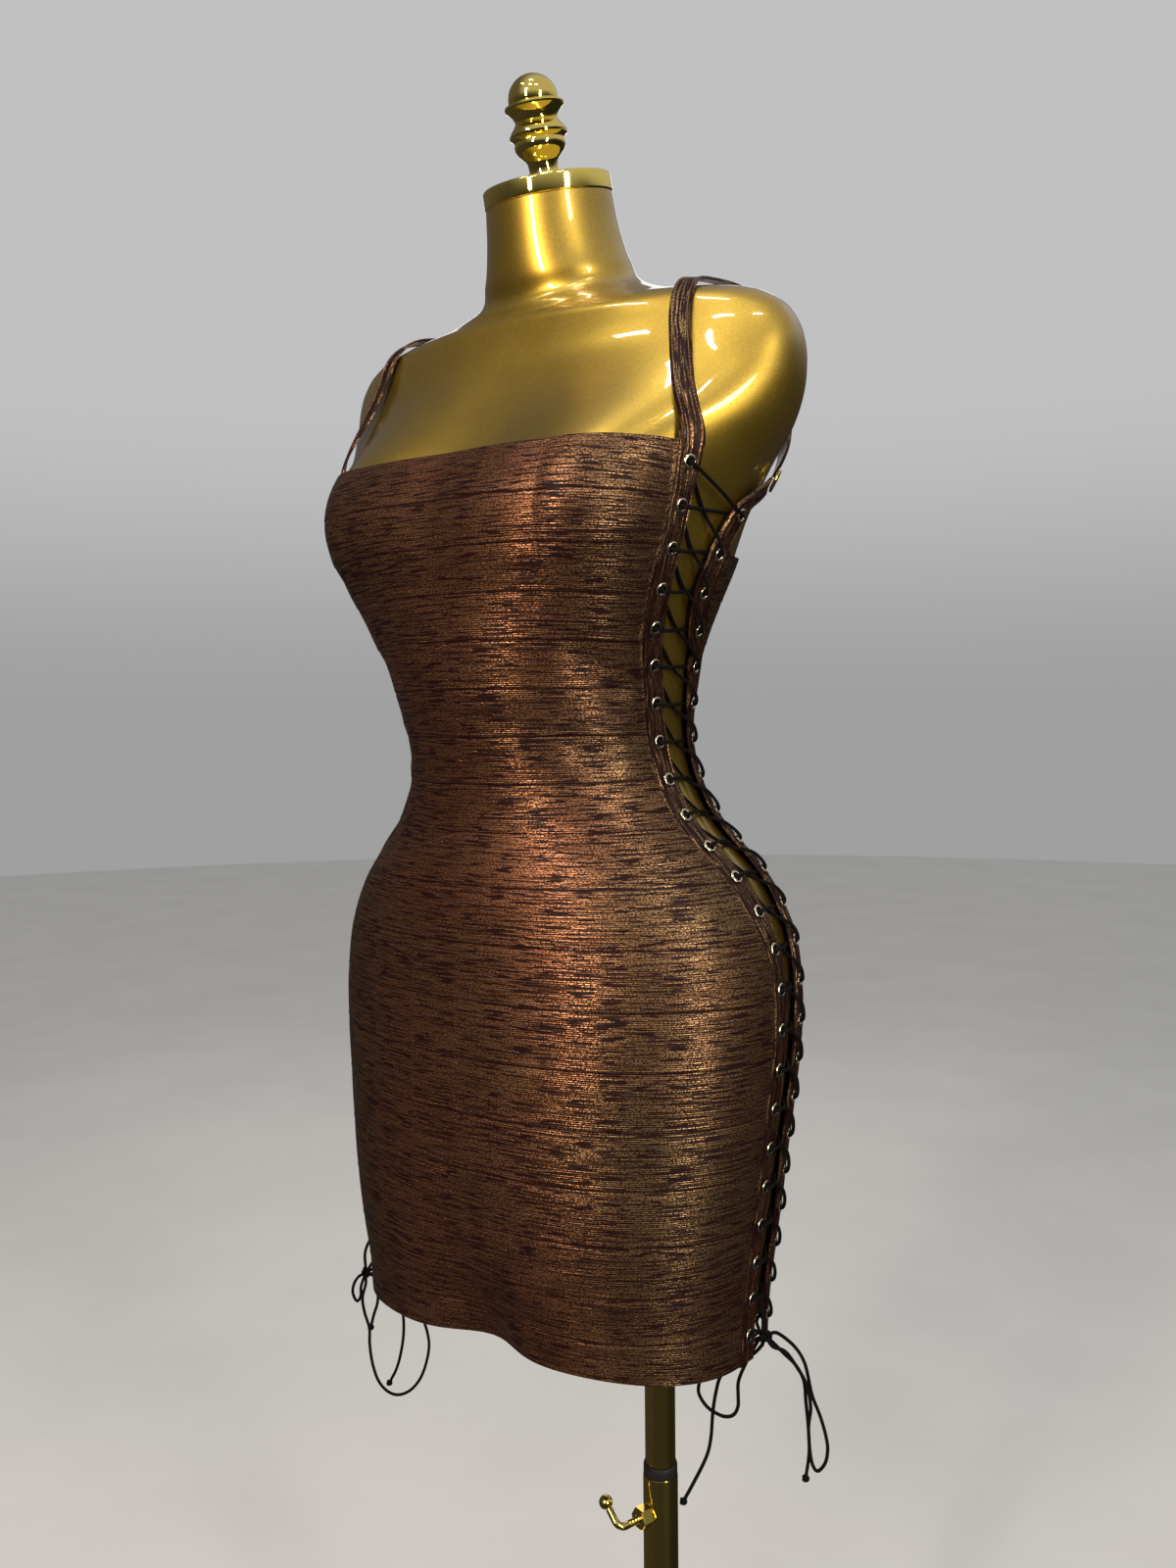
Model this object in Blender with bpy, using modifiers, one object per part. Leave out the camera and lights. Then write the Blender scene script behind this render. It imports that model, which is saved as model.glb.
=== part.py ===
"""A laced bodycon mini dress on a limbless dress form with a telescopic stand.

Metres, +Z up.  The wearer faces -Y and the wearer's left is +X.  The origin is the
middle of the underside of the round base plate, below the axis of the torso.
"""
import math
from collections import namedtuple

import bmesh
import bpy
from mathutils import Matrix, Vector
from mathutils.bvhtree import BVHTree

MM = 0.001
GAP = 0.3 * MM                      # clearance between pieces that touch

# ---- cloth and lacing -----------------------------------------------------------
WALL = 1.5 * MM                     # knitted bandage cloth
CLOTH_LIFT = 2.2 * MM               # cloth above the form, away from the lacing
STRAP_LIFT = 3.4 * MM               # the flat strap clears the curve of the shoulder
BAND_LIFT = 3.6 * MM                # the laced bands ride on the inner strands
TOP_LIFT = 1.3 * MM                 # the top of a band bridges the hollow of the armpit
BAND_HALF = 9.0 * MM                # half the width of a laced band
STRAP_HALF = 7.0 * MM               # half the width of a shoulder strap
LIFT_RUN = 30.0                     # degrees over which a panel rises to its band
FRONT_COLUMNS = 18
BACK_COLUMNS = 16
HEM_END = 1                         # a band starts one millimetre below the hem row
HEM_RISE = 10 * MM                  # how much the hem rides up at the front
EYELETS = 24                        # eyelets down one front band
HOLE_RADIUS = 2.7 * MM
LACE_RADIUS = 1.2 * MM
INNER_STRAND = 1.95 * MM             # height of a strand's middle under a band
CROSSING = 4.7 * MM                 # height of the upper strand where two cross
OUTER_STRAND = 7.5 * MM             # height of a strand's middle on top of a band
BAND_EDGE = BAND_HALF + 1.5 * MM    # how far from its eyelet a strand clears the band

# ---- form -----------------------------------------------------------------------
FORM_COLUMNS = 36
FORM_BOTTOM = 686 * MM
BUST_X, BUST_Z = 80 * MM, 1228 * MM
BUST_OUT, BUST_SPREAD = 38 * MM, 14 * MM
BUST_WIDE, BUST_TALL = 62 * MM, 64 * MM
HOLLOW_HALF = 34 * MM               # half width of the hollow between the thighs

# ---- stand ----------------------------------------------------------------------
POLE = Vector((63 * MM, 27 * MM, 0))
BASE_RADIUS, BASE_HEIGHT = 160 * MM, 6 * MM
FLANGE_RADIUS, FLANGE_HEIGHT = 30 * MM, 16 * MM
LOWER_RADIUS, LOWER_BORE, LOWER_TOP = 12.6 * MM, 11.4 * MM, 550 * MM
UPPER_RADIUS, UPPER_FOOT, UPPER_TOP = 11.0 * MM, 230 * MM, 760 * MM
COLLAR_RADIUS, COLLAR_HEIGHT = 12.3 * MM, 8 * MM
CLAMP_Z = 523 * MM
CLAMP_WAY = Vector((-0.297, -0.955, 0)).normalized()    # the screw points to the front
NUT_RADIUS, NUT_LENGTH, NUT_BORE = 8.2 * MM, 8.5 * MM, 3.0 * MM
SCREW_RADIUS, SCREW_REACH = 2.6 * MM, 39 * MM
HANDLE_LENGTH, HANDLE_LEAN = 19.5 * MM, 50.0              # the bent end and its lean
BALL_RADIUS = 4.9 * MM

Section = namedtuple("Section", "z half front back front_square back_square hollow tilt")
LacePlace = namedtuple("LacePlace", "z front_angle back_angle")
NeckRing = namedtuple("NeckRing", "z half front back centre tilt")

# Rings of the figure in millimetres, one at each seam between two bandage strips and
# then over the shoulders.  Half width, depth in front of and behind the axis, how
# square each half is (2 is an ellipse), the hollow between the thighs, and how many
# degrees the ring is tipped down to the front.
SECTIONS = [
    Section(672, 146, 99, 93, 2.7, 2.3, 22, 0),
    Section(703, 147.5, 103, 95, 2.6, 2.3, 14, 0),
    Section(736, 152, 108, 99, 2.55, 2.25, 6, 0),
    Section(770, 156.5, 111, 105, 2.5, 2.25, 1, 0),
    Section(806, 161, 113, 113, 2.4, 2.2, 0, 0),
    Section(843, 165.5, 114, 122, 2.3, 2.2, 0, 0),
    Section(880, 169, 114, 129, 2.25, 2.2, 0, 0),
    Section(917, 170, 113, 129.5, 2.2, 2.15, 0, 0),
    Section(954, 164.5, 111, 122, 2.15, 2.15, 0, 0),
    Section(990, 146.5, 107, 105, 2.1, 2.1, 0, 0),
    Section(1024, 117.5, 99, 78, 2.1, 2.1, 0, 0),
    Section(1056, 102, 100, 60, 2.1, 2.1, 0, 0),
    Section(1087, 97.5, 108, 50, 2.1, 2.1, 0, 0),
    Section(1117, 101, 116, 49.5, 2.15, 2.15, 0, 0),
    Section(1147, 108, 117, 58, 2.2, 2.2, 0, 0),
    Section(1176, 119, 110.5, 73, 2.2, 2.2, 0, 0),
    Section(1204, 130, 105, 84, 2.2, 2.25, 0, 0),
    Section(1232, 140, 100, 90, 2.3, 2.3, 0, 0),
    Section(1263, 158, 91, 93, 2.3, 2.3, 0, 0),
    Section(1285, 174, 80, 92, 2.2, 2.3, 0, 0),
    Section(1303, 181, 70, 92, 2.1, 2.35, 0, 0),
    Section(1320, 183.5, 61, 91, 2.0, 2.4, 0, 0),
    Section(1336, 183, 54, 88, 2.0, 2.4, 0, 2),
    Section(1350, 178, 50, 82, 2.0, 2.4, 0, 4),
    Section(1361, 168, 48, 76, 2.0, 2.4, 0, 6),
    Section(1369, 152, 47, 70, 2.0, 2.35, 0, 8),
    Section(1375, 127, 45, 64, 2.0, 2.3, 0, 10),
    Section(1380, 96, 43, 60, 2.0, 2.2, 0, 13),
    Section(1386, 74, 43, 59, 2.0, 2.1, 0, 15),
]
SEAM_ROWS = 19                      # the sections that are seams of the dress
BACK_ROWS = 17                      # the back panel ends two strips lower

# The neck leans forward, and its rings tilt with it.  Millimetres and degrees.
NECK_RINGS = [
    NeckRing(1392, 62, 44, 56, 3, 16),
    NeckRing(1408, 52.5, 46, 51.5, 1.5, 16),
    NeckRing(1431, 46.5, 45.5, 46.5, -2, 15.5),
    NeckRing(1454, 44, 44, 44, -6, 15),
]

# Where the rows of eyelets stand on the figure's left side: height in millimetres
# and degrees round from the front.
LACE_PLACES = [
    LacePlace(672, 89.0, 103.5),
    LacePlace(703, 89.0, 103.0),
    LacePlace(736, 88.5, 102.5),
    LacePlace(770, 88.5, 102.0),
    LacePlace(806, 88.5, 101.0),
    LacePlace(843, 88.5, 100.5),
    LacePlace(880, 89.0, 100.5),
    LacePlace(917, 89.0, 101.5),
    LacePlace(954, 87.5, 103.5),
    LacePlace(990, 83.5, 106.5),
    LacePlace(1024, 79.5, 107.5),
    LacePlace(1056, 77.5, 105.5),
    LacePlace(1087, 76.0, 102.0),
    LacePlace(1117, 74.0, 97.0),
    LacePlace(1147, 70.5, 89.5),
    LacePlace(1176, 67.5, 83.0),
    LacePlace(1204, 66.5, 83.0),
    LacePlace(1232, 65.4, 88.0),
    LacePlace(1263, 60.0, 98.0),
]
FIRST_EYELET, LAST_EYELET = 1250.5 * MM, 689.5 * MM

# The left shoulder strap's way over the shoulder to the ring behind it, millimetres.
STRAP_ROUTE = [
    (137, -56, 1289),
    (130, -46, 1316),
    (122, -30, 1345),
    (117, -10, 1368),
    (117, 12, 1374),
    (121, 33, 1362),
    (128, 52, 1336),
    (138, 62, 1308),
    (146, 58.5, 1285),
    (149.4, 49, 1266),
    (150.6, 44.2, 1257.6),
]
BAND_TOP = (150.2, 38.2, 1248.8)    # upper end of the back band, millimetres
RING_CENTRE = (150.5, 41, 1253)
RING_RADIUS, RING_WIRE, RING_STAND = 7.0 * MM, 1.1 * MM, 0.4 * MM

# Bows at the lower ends of the lacing, in millimetres.  The two ends of the lace run
# to the knot past the points of LACE_ENDS; the loops and tails leave the knot.
KNOTS = {"left": (157, 9, 685), "right": (-193, -12, 649)}
KNOT_RADIUS = 4.2 * MM
LACE_ENDS = {
    "left": [[(148.6, 6.8, 688)], [(150.7, 6.5, 712), (154, 9, 703), (157, 9, 696)]],
    "right": [[(-148.6, 6.8, 688), (-156, 7, 685), (-168, 2, 681), (-182, -6, 667)],
              [(-150.7, 6.5, 712), (-156, 10, 704), (-174, 11, 696), (-192, 4, 682),
               (-197.5, -7, 665)]],
}
BOW_ROUTES = {
    "left_loop_1": [(161.3, 15.3, 686), (167, 19, 682), (173, 23, 675), (177, 27, 665),
                    (180, 33, 640), (184, 37, 625), (187, 39, 612), (188, 40, 602),
                    (187, 38, 593), (184, 33, 589), (182, 29, 595), (181, 25, 622),
                    (183, 24, 637), (181, 22, 653), (177, 17, 665), (170, 12, 677),
                    (164, 6, 681)],
    "left_loop_2": [(151.8, 14.8, 681.7), (146, 15, 672), (141, 11, 660), (140, 3, 651),
                    (142, -1, 644), (144, -5, 639), (143, -9, 635), (138, -11, 633),
                    (130, -12, 634), (123, -12, 637), (116, -9, 643), (116, -3, 651),
                    (126, 3, 661), (138, 5, 669), (146, 5.5, 676), (150.7, 6.3, 681.7)],
    "left_tail_1": [(159.7, 13.1, 680.5), (165, 20, 671), (172, 25, 662), (177, 26, 653),
                    (179, 25, 640), (179, 29, 619), (179, 30, 601), (177, 28, 582)],
    "left_tail_2": [(154.5, 9.5, 678), (147, 9, 669), (137, 5, 662), (128, 1, 653),
                    (125, -1, 641), (123, -2, 626), (124, -6, 613), (124, -11, 603),
                    (119, -24, 585), (116, -32, 576)],
    "right_loop_1": [(-188, -17, 643), (-190, -19, 632), (-191, -16, 618), (-188, -14, 605),
                     (-188, -14, 592), (-186, -13, 575), (-182, -10, 560), (-176, -6, 552),
                     (-170, -1, 549), (-164, 6, 551), (-160, 14, 558), (-158, 20, 570),
                     (-160, 26, 583), (-168, 30, 596), (-178, 29, 611), (-189, 18, 626),
                     (-195, 3, 639)],
    "right_loop_2": [(-199, -14, 645), (-203.5, -15, 638), (-205, -15, 630),
                     (-200.5, -15, 624.5), (-196, -15, 630), (-195.5, -15, 638)],
    "right_tail_1": [(-188, -5, 652), (-184, 6, 641), (-181, 13, 624), (-178, 15, 606),
                     (-177, 14, 592), (-178, 12, 578), (-181, 9, 563), (-186, 4, 550)],
    "right_tail_2": [(-185, -11, 649), (-180, -12, 642), (-178, -14, 630),
                     (-181, -16, 618), (-184, -17, 606)],
}
ROUTE_STEP = 7 * MM                 # distance between two points of a bow's cord

Finish = namedtuple("Finish", "colour roughness metallic")
FINISHES = {
    "foil_knit": Finish((0.16, 0.085, 0.055), 0.45, 0.55),
    "gold_form": Finish((0.60, 0.43, 0.10), 0.28, 0.75),
    "brass": Finish((0.72, 0.62, 0.30), 0.18, 1.0),
    "black_lace": Finish((0.02, 0.016, 0.018), 0.75, 0.0),
    "black_plastic": Finish((0.015, 0.015, 0.015), 0.5, 0.0),
}


# ---- shapes of the figure ---------------------------------------------------------
def power(value, exponent):
    """A power that keeps the sign."""
    return math.copysign(abs(value) ** exponent, value)


def ease(share):
    """A share from 0 to 1 with soft ends."""
    share = min(1.0, max(0.0, share))
    return share * share * (3 - 2 * share)


def bust_weight(x, z, side, bridged):
    """How much of a breast a point takes; cloth bridges the space between the two."""
    across = (x - side * BUST_X) / BUST_WIDE
    if bridged and x * side < BUST_X:
        across = 0.35 * across
    return math.exp(-across ** 2 - ((z - BUST_Z) / BUST_TALL) ** 2)


def section_point(section, angle, bridged=False):
    """A point on one ring; the angle runs from the front towards the wearer's left."""
    turn = math.radians(angle)
    sine, cosine = math.sin(turn), math.cos(turn)
    front = cosine > 0
    square = section.front_square if front else section.back_square
    depth = section.front if front else section.back
    x = section.half * MM * power(sine, 2 / square)
    y = -depth * MM * power(cosine, 2 / square)
    z = section.z * MM
    if front:
        weights = [bust_weight(x, z, side, bridged) for side in (-1, 1)]
        facing = ease(1.6 * cosine)
        y -= BUST_OUT * facing * (max(weights) if bridged else sum(weights))
        x += BUST_SPREAD * (weights[1] - weights[0])
        y += section.hollow * MM * math.exp(-(x / HOLLOW_HALF) ** 2)
    return Vector((x, y, z + y * math.tan(math.radians(section.tilt))))


def row_below(rows, z):
    """Index of the row under a height, and how far the height is towards the next."""
    last = len(rows) - 2
    index = next((i for i in range(last) if rows[i + 1].z * MM > z), last)
    low, high = rows[index].z * MM, rows[index + 1].z * MM
    return index, (z - low) / (high - low)


def form_point(angle, z, bridged=False):
    """A point on the figure, straight between two seams."""
    index, share = row_below(SECTIONS, z)
    low = section_point(SECTIONS[index], angle, bridged)
    high = section_point(SECTIONS[index + 1], angle, bridged)
    return low.lerp(high, share)


def form_normal(angle, z, bridged=False):
    """The outward direction of the figure's surface."""
    around = form_point(angle + 2, z, bridged) - form_point(angle - 2, z, bridged)
    upward = form_point(angle, z + 8 * MM, bridged) - form_point(angle, z - 8 * MM, bridged)
    return around.cross(upward).normalized()


def lace_angle(z, column):
    """Degrees round to the row of eyelets at a height."""
    index, share = row_below(LACE_PLACES, z)
    low = getattr(LACE_PLACES[index], column)
    high = getattr(LACE_PLACES[index + 1], column)
    return low + share * (high - low)


def smooth_route(route, step):
    """Points at even steps along a smooth curve through a route."""
    dense = []
    for i in range(len(route) - 1):
        p0, p1 = route[max(i - 1, 0)], route[i]
        p2, p3 = route[i + 1], route[min(i + 2, len(route) - 1)]
        for part in range(12):
            t = part / 12
            dense.append(0.5 * (2 * p1 + (p2 - p0) * t + (2 * p0 - 5 * p1 + 4 * p2 - p3) * t ** 2
                                + (3 * p1 - p0 - 3 * p2 + p3) * t ** 3))
    dense.append(route[-1])
    return even_points(dense, step)


def even_points(points, step):
    """Points at even distances along a chain of straight runs, both ends kept."""
    lengths = [(b - a).length for a, b in zip(points, points[1:])]
    count = max(2, round(sum(lengths) / step))
    spacing = sum(lengths) / count
    result, walked, index = [points[0]], 0.0, 0
    for number in range(1, count):
        target = number * spacing
        while walked + lengths[index] < target:
            walked += lengths[index]
            index += 1
        result.append(points[index].lerp(points[index + 1], (target - walked) / lengths[index]))
    return result + [points[-1]]


# ---- scene helpers ------------------------------------------------------------------
def clear_scene():
    """Start from an empty file."""
    for item in list(bpy.data.objects):
        bpy.data.objects.remove(item)


def new_collection(name):
    """A collection linked to the scene."""
    collection = bpy.data.collections.new(name)
    bpy.context.scene.collection.children.link(collection)
    return collection


def finish_material(name):
    """One Principled material of the table of finishes."""
    material = bpy.data.materials.get(name)
    if material is None:
        finish = FINISHES[name]
        material = bpy.data.materials.new(name)
        material.use_nodes = True
        shader = material.node_tree.nodes["Principled BSDF"]
        shader.inputs["Base Color"].default_value = (*finish.colour, 1)
        shader.inputs["Roughness"].default_value = finish.roughness
        shader.inputs["Metallic"].default_value = finish.metallic
    return material


def mesh_object(name, mesh_data, finish, collection=None):
    """An object from a bmesh, with its material."""
    mesh = bpy.data.meshes.new(name)
    mesh_data.to_mesh(mesh)
    mesh_data.free()
    mesh.materials.append(finish_material(finish))
    item = bpy.data.objects.new(name, mesh)
    (collection or parts).objects.link(item)
    return item


def grid_object(name, rows, finish, closed=False):
    """A quad surface through rows of points, with its faces pointing outwards."""
    data = bmesh.new()
    lines = [[data.verts.new(point) for point in row] for row in rows]
    for low, high in zip(lines, lines[1:]):
        count = len(low) if closed else len(low) - 1
        for i in range(count):
            j = (i + 1) % len(low)
            data.faces.new((low[i], low[j], high[j], high[i]))
    if closed:
        data.faces.new(list(reversed(lines[0])))
        data.faces.new(lines[-1])
    return mesh_object(name, data, finish)


def thicken(item, wall):
    """Give an open surface its wall, outwards."""
    solid = item.modifiers.new("wall", "SOLIDIFY")
    solid.thickness = wall
    solid.offset = 1
    return item


def bevelled(item, width):
    """Break the sharp edges of a hard piece."""
    bevel = item.modifiers.new("edges", "BEVEL")
    bevel.width = width
    bevel.segments = 1
    bevel.limit_method = "ANGLE"
    return item


def cylinder(name, radius, height, finish, bottom, sides=32):
    """A standing cylinder whose underside is at a point."""
    data = bmesh.new()
    bmesh.ops.create_cone(data, cap_ends=True, segments=sides, radius1=radius,
                          radius2=radius, depth=height)
    item = mesh_object(name, data, finish)
    item.location = bottom + Vector((0, 0, height / 2))
    return item


def turned(name, profile, finish, place, steps=12):
    """A turned piece from its outer profile, listed from the top down."""
    data = bmesh.new()
    corners = [data.verts.new((radius * MM, 0, height * MM)) for radius, height in profile]
    for a, b in zip(corners, corners[1:]):
        data.edges.new((a, b))
    item = mesh_object(name, data, finish)
    screw = item.modifiers.new("turn", "SCREW")
    screw.steps = screw.render_steps = steps
    screw.use_merge_vertices = True
    screw.merge_threshold = 0.00005
    item.matrix_world = place
    return item


def tube(name, points, radius, finish, resolution):
    """A tube along a chain of points, closed at both ends."""
    curve = bpy.data.curves.new(name, "CURVE")
    curve.dimensions = "3D"
    curve.bevel_depth = radius
    curve.bevel_resolution = resolution
    curve.use_fill_caps = True
    spline = curve.splines.new("POLY")
    spline.points.add(len(points) - 1)
    for knot, point in zip(spline.points, points):
        knot.co = (*point, 1)
    curve.materials.append(finish_material(finish))
    item = bpy.data.objects.new(name, curve)
    parts.objects.link(item)
    return item


def cut(item, cutter):
    """Take a cutter's shape out of a piece."""
    cutter.hide_render = True
    cutter.display_type = "WIRE"
    boolean = item.modifiers.new("cut", "BOOLEAN")
    boolean.operation = "DIFFERENCE"
    boolean.solver = "EXACT"
    boolean.object = cutter


def axis_empty(name, place):
    """An empty on a joint's axis."""
    empty = bpy.data.objects.new(name, None)
    empty.location = place
    parts.objects.link(empty)
    return empty


def hang_on(parent, *items):
    """Parent pieces to an empty and leave them where they are."""
    bpy.context.view_layer.update()
    for item in items:
        item.parent = parent
        item.matrix_parent_inverse = parent.matrix_world.inverted()


def mirrored(vectors):
    """Points or directions carried over to the wearer's right."""
    return [Vector((-v.x, v.y, v.z)) for v in vectors]


# ---- dress form -----------------------------------------------------------------------
def ring_angles(count):
    """Even angles round the figure."""
    return [360 * i / count for i in range(count)]


def neck_point(ring, angle):
    """A point on a tilted ring of the neck."""
    turn = math.radians(angle)
    depth = ring.front if math.cos(turn) > 0 else ring.back
    x = ring.half * MM * math.sin(turn)
    y = -depth * MM * math.cos(turn)
    return Vector((x, y + ring.centre * MM, ring.z * MM + y * math.tan(math.radians(ring.tilt))))


def build_form():
    """The smooth limbless figure, with a socket for the pole in its underside."""
    angles = ring_angles(FORM_COLUMNS)
    rows = []
    for rise, inset in ((0, 8), (2, 2.5), (6, 0.5)):
        ring = [form_point(angle, FORM_BOTTOM + rise * MM) for angle in angles]
        rows.append([point - inset * MM * Vector((point.x, point.y, 0)).normalized()
                     for point in ring])
    rows += [[section_point(section, angle) for angle in angles] for section in SECTIONS[1:]]
    rows += [[neck_point(ring, angle) for angle in angles] for ring in NECK_RINGS]
    form = grid_object("dress_form", rows, "gold_form", closed=True)
    surface = BVHTree.FromPolygons([vertex.co.copy() for vertex in form.data.vertices],
                                   [list(face.vertices) for face in form.data.polygons])
    data = bmesh.new()
    depth = UPPER_TOP + GAP - (FORM_BOTTOM - 10 * MM)
    place = POLE + Vector((0, 0, FORM_BOTTOM - 10 * MM + depth / 2))
    bmesh.ops.create_cone(data, cap_ends=True, segments=16, radius1=UPPER_RADIUS + 2 * GAP,
                          radius2=UPPER_RADIUS + 2 * GAP, depth=depth,
                          matrix=Matrix.Translation(place))
    cut(form, mesh_object("socket_cutter", data, "gold_form", cutters))
    return form, surface


def build_neck():
    """The plated cap on the neck and the turned finial on it."""
    top = NECK_RINGS[-1]
    lean = Matrix.Rotation(math.radians(top.tilt), 4, "X")
    middle = Vector((0, top.centre * MM, top.z * MM))
    place = Matrix.Translation(middle) @ lean
    cap_height = 12.5
    cap = cylinder("neck_cap", 44.6 * MM, cap_height * MM, "brass", Vector(), sides=28)
    cap.matrix_world = place @ Matrix.Translation((0, 0, cap_height * MM / 2 + GAP))
    bevelled(cap, 0.8 * MM)
    dome = [(17.2 * math.sin(math.radians(a)), 52.3 + 16.5 * math.cos(math.radians(a)))
            for a in (0, 22, 44, 66, 88)]
    body = [(17.2, 50.3), (20.2, 49.0), (20.2, 47.1), (14.8, 40.2), (14.8, 38.5), (19.8, 31.8),
            (19.8, 29.5), (17.6, 25.2), (15.8, 19.6), (11.4, 14.6), (10.3, 12.6), (10.3, 3.7),
            (13.0, 1.3), (13.0, 0.0), (0.0, 0.0)]
    seat = Matrix.Translation((0, 0, cap_height * MM + 2 * GAP))
    finial = turned("finial", dome + body, "brass", place @ seat)
    return [cap, finial]


# ---- dress ----------------------------------------------------------------------------
Frame = namedtuple("Frame", "centre normal side half")


def frames_along(centres, normals, halves):
    """Cross directions of a band; side points away from the front of the figure."""
    frames = []
    last = len(centres) - 1
    for i, centre in enumerate(centres):
        along = (centres[min(i + 1, last)] - centres[max(i - 1, 0)]).normalized()
        normal = (normals[i] - normals[i].dot(along) * along).normalized()
        frames.append(Frame(centre, normal, along.cross(normal), halves[i]))
    return frames


def band_frames(surface, column):
    """The laced band along one row of eyelets, with a frame at each seam."""
    heights = [section.z * MM for section in SECTIONS[:SEAM_ROWS]]
    if column == "back_angle":
        heights = heights[:-1]
    heights[0] -= HEM_END * MM
    angles = [lace_angle(z, column) for z in heights]
    lifts = [BAND_LIFT] * (len(heights) - 1) + [BAND_LIFT + TOP_LIFT]
    centres = [over_form(surface, angle, z, lift)
               for angle, z, lift in zip(angles, heights, lifts)]
    normals = [form_normal(angle, z, True) for angle, z in zip(angles, heights)]
    return frames_along(centres, normals, [BAND_HALF] * len(centres))


def strap_frames(surface, below, route, lift):
    """Carry a band on over the surface of the form along a route."""
    start = below.centre
    rough = smooth_route([start] + [Vector(point) * MM for point in route], 12 * MM)[1:]
    centres, normals = [], []
    for point in rough:
        spot, normal, _, _ = surface.find_nearest(point)
        centres.append(spot)
        normals.append(normal)
    count = len(centres)
    soft = [(normals[max(i - 1, 0)] + normals[i] + normals[min(i + 1, count - 1)]).normalized()
            for i in range(count)]
    placed = []
    for i, (spot, normal) in enumerate(zip(centres, soft)):
        share = min(1.0, (i + 1) / 4)
        height = BAND_LIFT + share * (lift - BAND_LIFT)
        placed.append(spot + height * normal)
    return placed, soft


def band_object(name, frames):
    """A flat band through its frames, with its wall standing outwards."""
    rows = [[f.centre - f.half * f.side, f.centre + f.half * f.side] for f in frames]
    return thicken(grid_object(name, rows, "foil_knit"), WALL)


def mirrored_frames(frames):
    """The same band on the wearer's right; its side still points to the left."""
    return [Frame(Vector((-f.centre.x, f.centre.y, f.centre.z)),
                  Vector((-f.normal.x, f.normal.y, f.normal.z)),
                  Vector((f.side.x, -f.side.y, -f.side.z)), f.half) for f in frames]


def cut_holes(band, eyelets):
    """Cut the hole under each eyelet through a band."""
    data = bmesh.new()
    for spot, normal in eyelets:
        turn = normal.to_track_quat("Z", "X").to_matrix().to_4x4()
        bmesh.ops.create_cone(data, cap_ends=True, segments=6, radius1=HOLE_RADIUS,
                              radius2=HOLE_RADIUS, depth=8 * MM,
                              matrix=Matrix.Translation(spot) @ turn)
    cut(band, mesh_object(band.name + "_cutter", data, "foil_knit", cutters))


def on_frames(frames, z):
    """Centre and normal of a band at a height."""
    index = next(i for i in range(len(frames) - 1) if frames[i + 1].centre.z >= z)
    low, high = frames[index], frames[index + 1]
    share = (z - low.centre.z) / (high.centre.z - low.centre.z)
    normal = low.normal.lerp(high.normal, share).normalized()
    return low.centre.lerp(high.centre, share), normal


def eyelet_heights(frames):
    """Heights of the front eyelets, evenly spaced along the band."""
    chain = [on_frames(frames, FIRST_EYELET)[0]]
    chain += [f.centre for f in reversed(frames) if LAST_EYELET < f.centre.z < FIRST_EYELET]
    chain.append(on_frames(frames, LAST_EYELET)[0])
    total = sum((b - a).length for a, b in zip(chain, chain[1:]))
    return [point.z for point in even_points(chain, total / (EYELETS - 1))]


def over_form(surface, angle, z, lift):
    """A point of the cloth, which bridges hollows but never dips into the form."""
    normal = form_normal(angle, z, True)
    bridged = form_point(angle, z, True)
    spot, _, _, _ = surface.ray_cast(bridged + 30 * MM * normal, -normal)
    rise = 0.0
    if spot is not None:
        rise = max(0.0, (spot - bridged).dot(normal))
    return bridged + (rise + lift) * normal


def panel_object(surface, name, rows_count, columns, right_edge, left_edge, start, end):
    """One panel between two bands; start and end give its angles at a row."""
    rows = []
    for i in range(rows_count):
        first, last = start(i), end(i)
        row = []
        for j in range(columns + 1):
            angle = first + (last - first) * j / columns
            z = SECTIONS[i].z * MM
            if i == 0:
                z += HEM_RISE * max(0.0, math.cos(math.radians(angle))) ** 1.4
            settled = ease(min(angle - first, last - angle) / LIFT_RUN)
            lift = BAND_LIFT + (CLOTH_LIFT - BAND_LIFT) * settled
            row.append(over_form(surface, angle, z, lift))
        row[0], row[-1] = right_edge(i), left_edge(i)
        rows.append(row)
    return thicken(grid_object(name, rows, "foil_knit"), WALL)


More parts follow.
